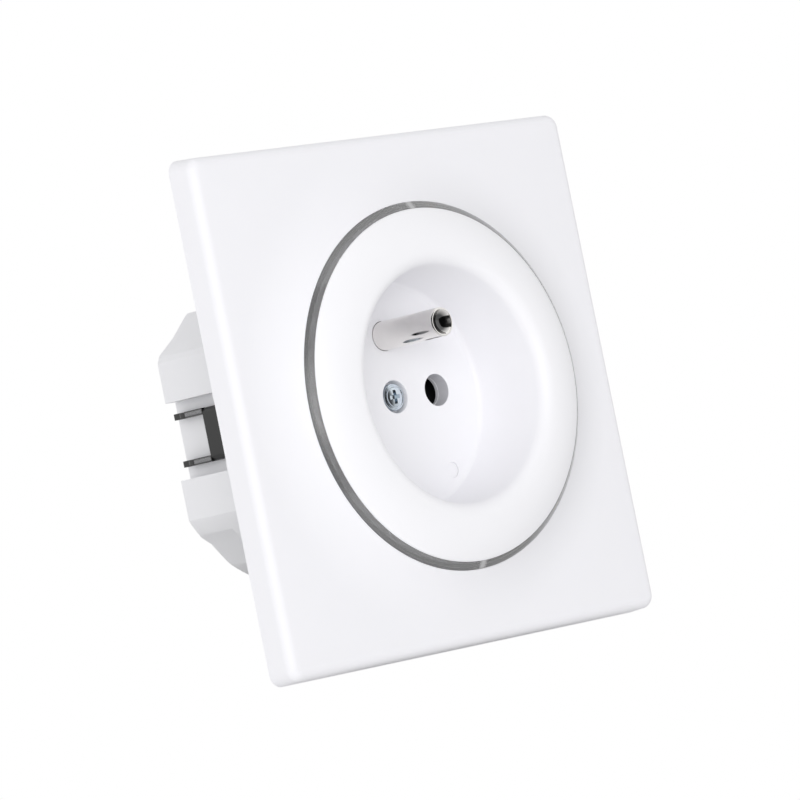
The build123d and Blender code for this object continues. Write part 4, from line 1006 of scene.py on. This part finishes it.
# %% Sheet, boards and blocks
MOVING = ("claw_left", "claw_right", "shutter")
COPIES = [
    ("mounting_plate", "wall_plate", plate_steel, "plate_steel", 0.12),
    ("claw_left", "left_claw", claw_steel, "claw_steel", 0.12),
    ("claw_right", "right_claw", claw_steel, "claw_steel", 0.12),
    ("shutter", "pin_shutter", shutter_dark, "shutter_dark", 0.15),
    ("contact_left", "left_contact", contact_brass, "contact_brass", 0.1),
    ("contact_right", "right_contact", contact_brass, "contact_brass", 0.1),
    ("earth_strap", "strap", contact_brass, "contact_brass", 0.1),
    ("terminal_line", "line_clamp", contact_brass, "contact_brass", 0.12),
    ("terminal_earth", "earth_clamp", contact_brass, "contact_brass", 0.12),
    ("terminal_neutral", "neutral_clamp", contact_brass, "contact_brass", 0.12),
    ("claw_nuts", "pull_nuts", plate_steel, "plate_steel", 0.12),
    ("claw_pins", "hinge_pins", plate_steel, "plate_steel", 0.1),
    ("fixing_nut", "bush", contact_brass, "contact_brass", 0.1),
    ("light_board", "ring_board", board_white, "board_white", 0.06),
    ("power_board", "main_board", board_green, "board_green", 0.06),
    ("link_pins", "board_pins", link_tin, "link_tin", 0.06),
    ("relay", "relay_case", relay_dark, "relay_dark", 0.1),
    ("capacitor", "can", capacitor_dark, "capacitor_dark", 0.1),
]
for node, name, finish, slot, width in COPIES:
    made = copied(node, name, finish)
    bevel(made, width)
    seat(made, node, node if node in MOVING else "socket")

# %% [markdown]
# ## Screws, chips and spring
# Small pieces that repeat are grown with Geometry Nodes: one screw is made, and a tree sets it on each
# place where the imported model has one, turned by chance about its own line as real screws end up.
# The same way twelve light chips stand in a ring, and a spiral carries the spring's round wire.


# %% Growing with nodes
def new_tree(name, **sockets):
    """A geometry tree with named inputs; gives the tree and a wire for each input."""
    tree = bpy.data.node_groups.new(name, "GeometryNodeTree")
    for label, kind in sockets.items():
        tree.interface.new_socket(label, in_out="INPUT", socket_type="NodeSocket" + kind)
    tree.interface.new_socket("Geometry", in_out="OUTPUT", socket_type="NodeSocketGeometry")
    start = tree.nodes.new("NodeGroupInput")
    return tree, {socket.name: Wire(tree, socket) for socket in start.outputs if socket.name}


def close_tree(geometry, finish):
    """Make the instances real, give them their finish and end the tree."""
    geometry = geometry.node("GeometryNodeRealizeInstances", None, {"Geometry": geometry})
    geometry = geometry.node("GeometryNodeSetMaterial", None, {"Geometry": geometry, "Material": finish})
    geometry.node("NodeGroupOutput", None, {"Geometry": geometry})


def grown(tree, name, start=None, **values):
    """Run a tree once and keep what it grew as a plain mesh."""
    made = bpy.data.objects.new(name, start or bpy.data.meshes.new(name))
    bpy.context.collection.objects.link(made)
    modifier = made.modifiers.new("grow", "NODES")
    modifier.node_group = tree
    for item in tree.interface.items_tree:
        if item.in_out == "INPUT" and item.name in values:
            modifier[item.identifier] = values[item.name]
    applied(made, SHARP)
    return made


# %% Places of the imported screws
def solids(node):
    """Lowest and highest corner of each separate solid of a CAD node, in metres."""
    bm = bmesh.new()
    bm.from_mesh(nodes[node].data)
    bmesh.ops.remove_doubles(bm, verts=bm.verts, dist=MERGE * MM)
    boxes = []
    met = set()
    for seed in bm.verts:
        if seed in met:
            continue
        met.add(seed)
        group = [seed]
        for vert in group:
            for edge in vert.link_edges:
                other = edge.other_vert(vert)
                if other not in met:
                    met.add(other)
                    group.append(other)
        boxes.append([Vector(pick(vert.co[k] for vert in group) for k in range(3)) for pick in (min, max)])
    bm.free()
    return boxes


def points(places):
    """A mesh of loose points."""
    mesh = bpy.data.meshes.new("places")
    mesh.from_pydata([tuple(place) for place in places], [], [])
    return mesh


# %% Screw tree
screw_tree, screw_in = new_tree("screws", Points="Geometry", Screw="Object", Facing="Vector", Seed="Int",
                                Finish="Material")
chance = screw_in["Seed"].node("FunctionNodeRandomValue", {"data_type": "FLOAT"},
                               {2: 0.0, 3: pi, 8: screw_in["Seed"]}, out=1)
spin = chance.node("ShaderNodeCombineXYZ", None, {"Y": chance})
spin = spin.node("FunctionNodeEulerToRotation", None, {"Euler": spin})
ahead = spin.node("FunctionNodeEulerToRotation", None, {"Euler": screw_in["Facing"]})
spin = spin.node("FunctionNodeRotateRotation", {"rotation_space": "GLOBAL"},
                 {"Rotation": spin, "Rotate By": ahead})
screw_shape = spin.node("GeometryNodeObjectInfo", None, {"Object": screw_in["Screw"]}, out="Geometry")
screw_sockets = {"Points": screw_in["Points"], "Instance": screw_shape, "Rotation": spin}
close_tree(spin.node("GeometryNodeInstanceOnPoints", None, screw_sockets), screw_in["Finish"])
print(len(screw_tree.nodes), "nodes in the screw tree")

# %% One screw
THREAD_PITCH = 0.6
THREAD_DEEP = 0.12
THREAD_END = 0.3
SCREW_STEPS = 48
SLOT_REACH = 9


def thread(r, first, last):
    """Points of a threaded shank, with flanks that rise and fall once a pitch."""
    made = []
    for k in range(int((last - first) / THREAD_PITCH)):
        start = first + k * THREAD_PITCH
        made += [(r - THREAD_DEEP, start), (r, start + 0.4 * THREAD_PITCH), (r, start + 0.6 * THREAD_PITCH)]
    return made + [(r - THREAD_DEEP, last - THREAD_END), (r / 2, last), (0, last)]


def screw(name, head, shank_r, neck, length, cutter):
    """One screw along Y, its head at the origin facing the room."""
    bm = bmesh.new()
    shank = [(shank_r, neck)] + thread(shank_r, neck + THREAD_END, length)
    turn(bm, head + shank, even(SCREW_STEPS))
    made = meshed(bm, name)
    cut(made, cutter)
    return made


def slot_cutter(name, wide, deep):
    """A straight slot across a head."""
    bm = bmesh.new()
    prism(bm, [(SLOT_REACH * sx, wide / 2 * sz) for sx, sz in SQUARE], -1, deep)
    return meshed(bm, name)


def pan_head(r, rise, high):
    """A domed head with a round edge."""
    top = dome(r, rise, 0)
    return top[:-1] + rounded([(*top[-2], 0), (*top[-1], 0.12), (r, high, 0.05), (r - 0.2, high, 0)])[1:]


# %% Screws
SMALL_CROSS = {"long": 2.5, "wide": 0.6, "top": -0.2, "deep": 1.1}
LARGE_CROSS = {"long": CROSS_LONG, "wide": CROSS_WIDE, "top": -0.2, "deep": 1.1}
TO_ROOM = (0, 0, 0)
TO_WALL = (0, 0, pi)
DOWN = (pi / 2, 0, 0)
sunk_head = rounded([(0, 0, 0), (2.2, 0, 0.06), (2.2, 0.1, 0.04), (1.2, 1.0, 0)])
kinds = {
    "plate_screws": dict(head=sunk_head, shank_r=1.2, neck=1.02, length=8.5,
                         cutter=cross_cutter("cross", **SMALL_CROSS), head_to=TO_ROOM),
    "housing_screws": dict(head=pan_head(r=2.2, rise=0.3, high=1.6), shank_r=1.2, neck=1.6, length=15.85,
                           cutter=cross_cutter("cross", **SMALL_CROSS), head_to=TO_WALL),
    "claw_screws": dict(head=pan_head(r=2.5, rise=0.35, high=1.9), shank_r=1.5, neck=1.9, length=13.9,
                        cutter=cross_cutter("cross", **LARGE_CROSS), head_to=TO_ROOM),
    "terminal_screws": dict(head=pan_head(r=2.2, rise=0.25, high=1.5), shank_r=1.5, neck=1.5, length=4.05,
                            cutter=slot_cutter("slot", wide=0.8, deep=0.75), head_to=DOWN),
}
for seed, (node, kind) in enumerate(kinds.items()):
    head_to = kind.pop("head_to")
    one_screw = screw("one_screw", **kind)
    places = []
    for low, high in solids(node):
        place = (low + high) / 2
        if head_to == DOWN:
            place.z = low.z
        else:
            place.y = high.y if head_to == TO_WALL else low.y
        places.append(place)
    fixings = grown(screw_tree, node.replace("_screws", "_fixings"), points(places), Screw=one_screw,
                    Facing=head_to, Seed=seed, Finish=screw_zinc)
    seat(fixings, node)
    bpy.data.objects.remove(one_screw)

# %% One light chip
CHIP_COUNT = 12
CHIP_R = 29.05
CHIP_FOOT = -2.2
CHIP_START = pi / CHIP_COUNT
CHIP_WIDE = 1.4
CHIP_LONG = 2.0
CHIP_SIDE = -0.7
CHIP_TOP = -0.8
LENS_FLOOR = -0.72
LENS_HALF = 0.5
LENS_FROM = -0.6


def plate_ring(x, z, y, corner=0.12):
    """A rectangle with cut corners, x by z, at depth y."""
    half = [(x / 2, z / 2 - corner), (x / 2 - corner, z / 2)]
    quarter = half + [(-a, b) for a, b in reversed(half)]
    return [(a, y, b) for a, b in quarter + [(-a, -b) for a, b in quarter]]


chip_bm = bmesh.new()
closed(chip_bm, [
    plate_ring(CHIP_WIDE, CHIP_LONG, 0), plate_ring(CHIP_WIDE, CHIP_LONG, CHIP_SIDE),
    plate_ring(1.3, 1.9, CHIP_TOP), plate_ring(1.05, 1.6, CHIP_TOP), plate_ring(0.95, 1.5, LENS_FLOOR),
])
one_chip = meshed(chip_bm, "one_chip")
lens = one_chip.data.attributes.new("lens", "FLOAT", "POINT")
for vert in one_chip.data.vertices:
    on_lens = abs(vert.co.x) < LENS_HALF * MM and vert.co.y < LENS_FROM * MM
    lens.data[vert.index].value = 1.0 if on_lens else 0.0
print(len(one_chip.data.polygons), "faces a chip")

# %% Ring of light chips
chip_tree, chip_in = new_tree("chip_ring", Chip="Object", Count="Int", Radius="Float", Finish="Material")
round_sockets = {"Vertices": chip_in["Count"], "Radius": chip_in["Radius"]}
chip_spots = chip_in["Count"].node("GeometryNodeMeshCircle", None, round_sockets)
chip_spots = chip_spots.node("GeometryNodeTransform", None,
                             {"Geometry": chip_spots, "Rotation": (pi / 2, 0, 0)})
chip_turn = chip_spots.maths("DIVIDE", -2 * pi, chip_in["Count"]) * chip_spots.node("GeometryNodeInputIndex")
chip_turn = chip_turn.node("ShaderNodeCombineXYZ", None, {"Y": chip_turn})
chip_turn = chip_turn.node("FunctionNodeEulerToRotation", None, {"Euler": chip_turn})
chip_shape = chip_spots.node("GeometryNodeObjectInfo", None, {"Object": chip_in["Chip"]}, out="Geometry")
chips = chip_spots.node("GeometryNodeInstanceOnPoints", None,
                        {"Points": chip_spots, "Instance": chip_shape, "Rotation": chip_turn})
chips = chips.node("GeometryNodeTransform", None, {"Geometry": chips, "Rotation": (0, -CHIP_START, 0),
                                                   "Translation": (0, CHIP_FOOT * MM, 0)})
close_tree(chips, chip_in["Finish"])
light_dots = grown(chip_tree, "light_dots", Chip=one_chip, Count=CHIP_COUNT, Radius=CHIP_R * MM,
                   Finish=chip_white)
seat(light_dots, "light_chips")
bpy.data.objects.remove(one_chip)

# %% Shutter spring
SPRING_R = 1.35
SPRING_WIRE = 0.19
SPRING_PITCH = 2.4
SPRING_Y = 7.9
spring_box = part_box("shutter_spring")
spring_foot = spring_box[0].z + SPRING_WIRE * MM
spring_high = spring_box[1].z - spring_box[0].z - 2 * SPRING_WIRE * MM

spring_tree, spring_in = new_tree("spring", Radius="Float", Wire="Float", Height="Float", Turns="Float",
                                  Finish="Material")
coil_sockets = {"Resolution": 40, "Rotations": spring_in["Turns"], "Start Radius": spring_in["Radius"],
                "End Radius": spring_in["Radius"], "Height": spring_in["Height"]}
coil = spring_in["Radius"].node("GeometryNodeCurveSpiral", None, coil_sockets)
wire = coil.node("GeometryNodeCurvePrimitiveCircle", None, {"Resolution": 14, "Radius": spring_in["Wire"]})
coil = coil.node("GeometryNodeCurveToMesh", None, {"Curve": coil, "Profile Curve": wire, "Fill Caps": True})
coil = coil.node("GeometryNodeTransform", None,
                 {"Geometry": coil, "Translation": (0, SPRING_Y * MM, spring_foot)})
close_tree(coil, spring_in["Finish"])
coil_spring = grown(spring_tree, "coil_spring", Radius=SPRING_R * MM, Wire=SPRING_WIRE * MM,
                    Height=spring_high, Turns=spring_high / MM / SPRING_PITCH, Finish=spring_steel)
coil_spring.data.shade_smooth()
seat(coil_spring, "shutter_spring")
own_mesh(coil_spring)
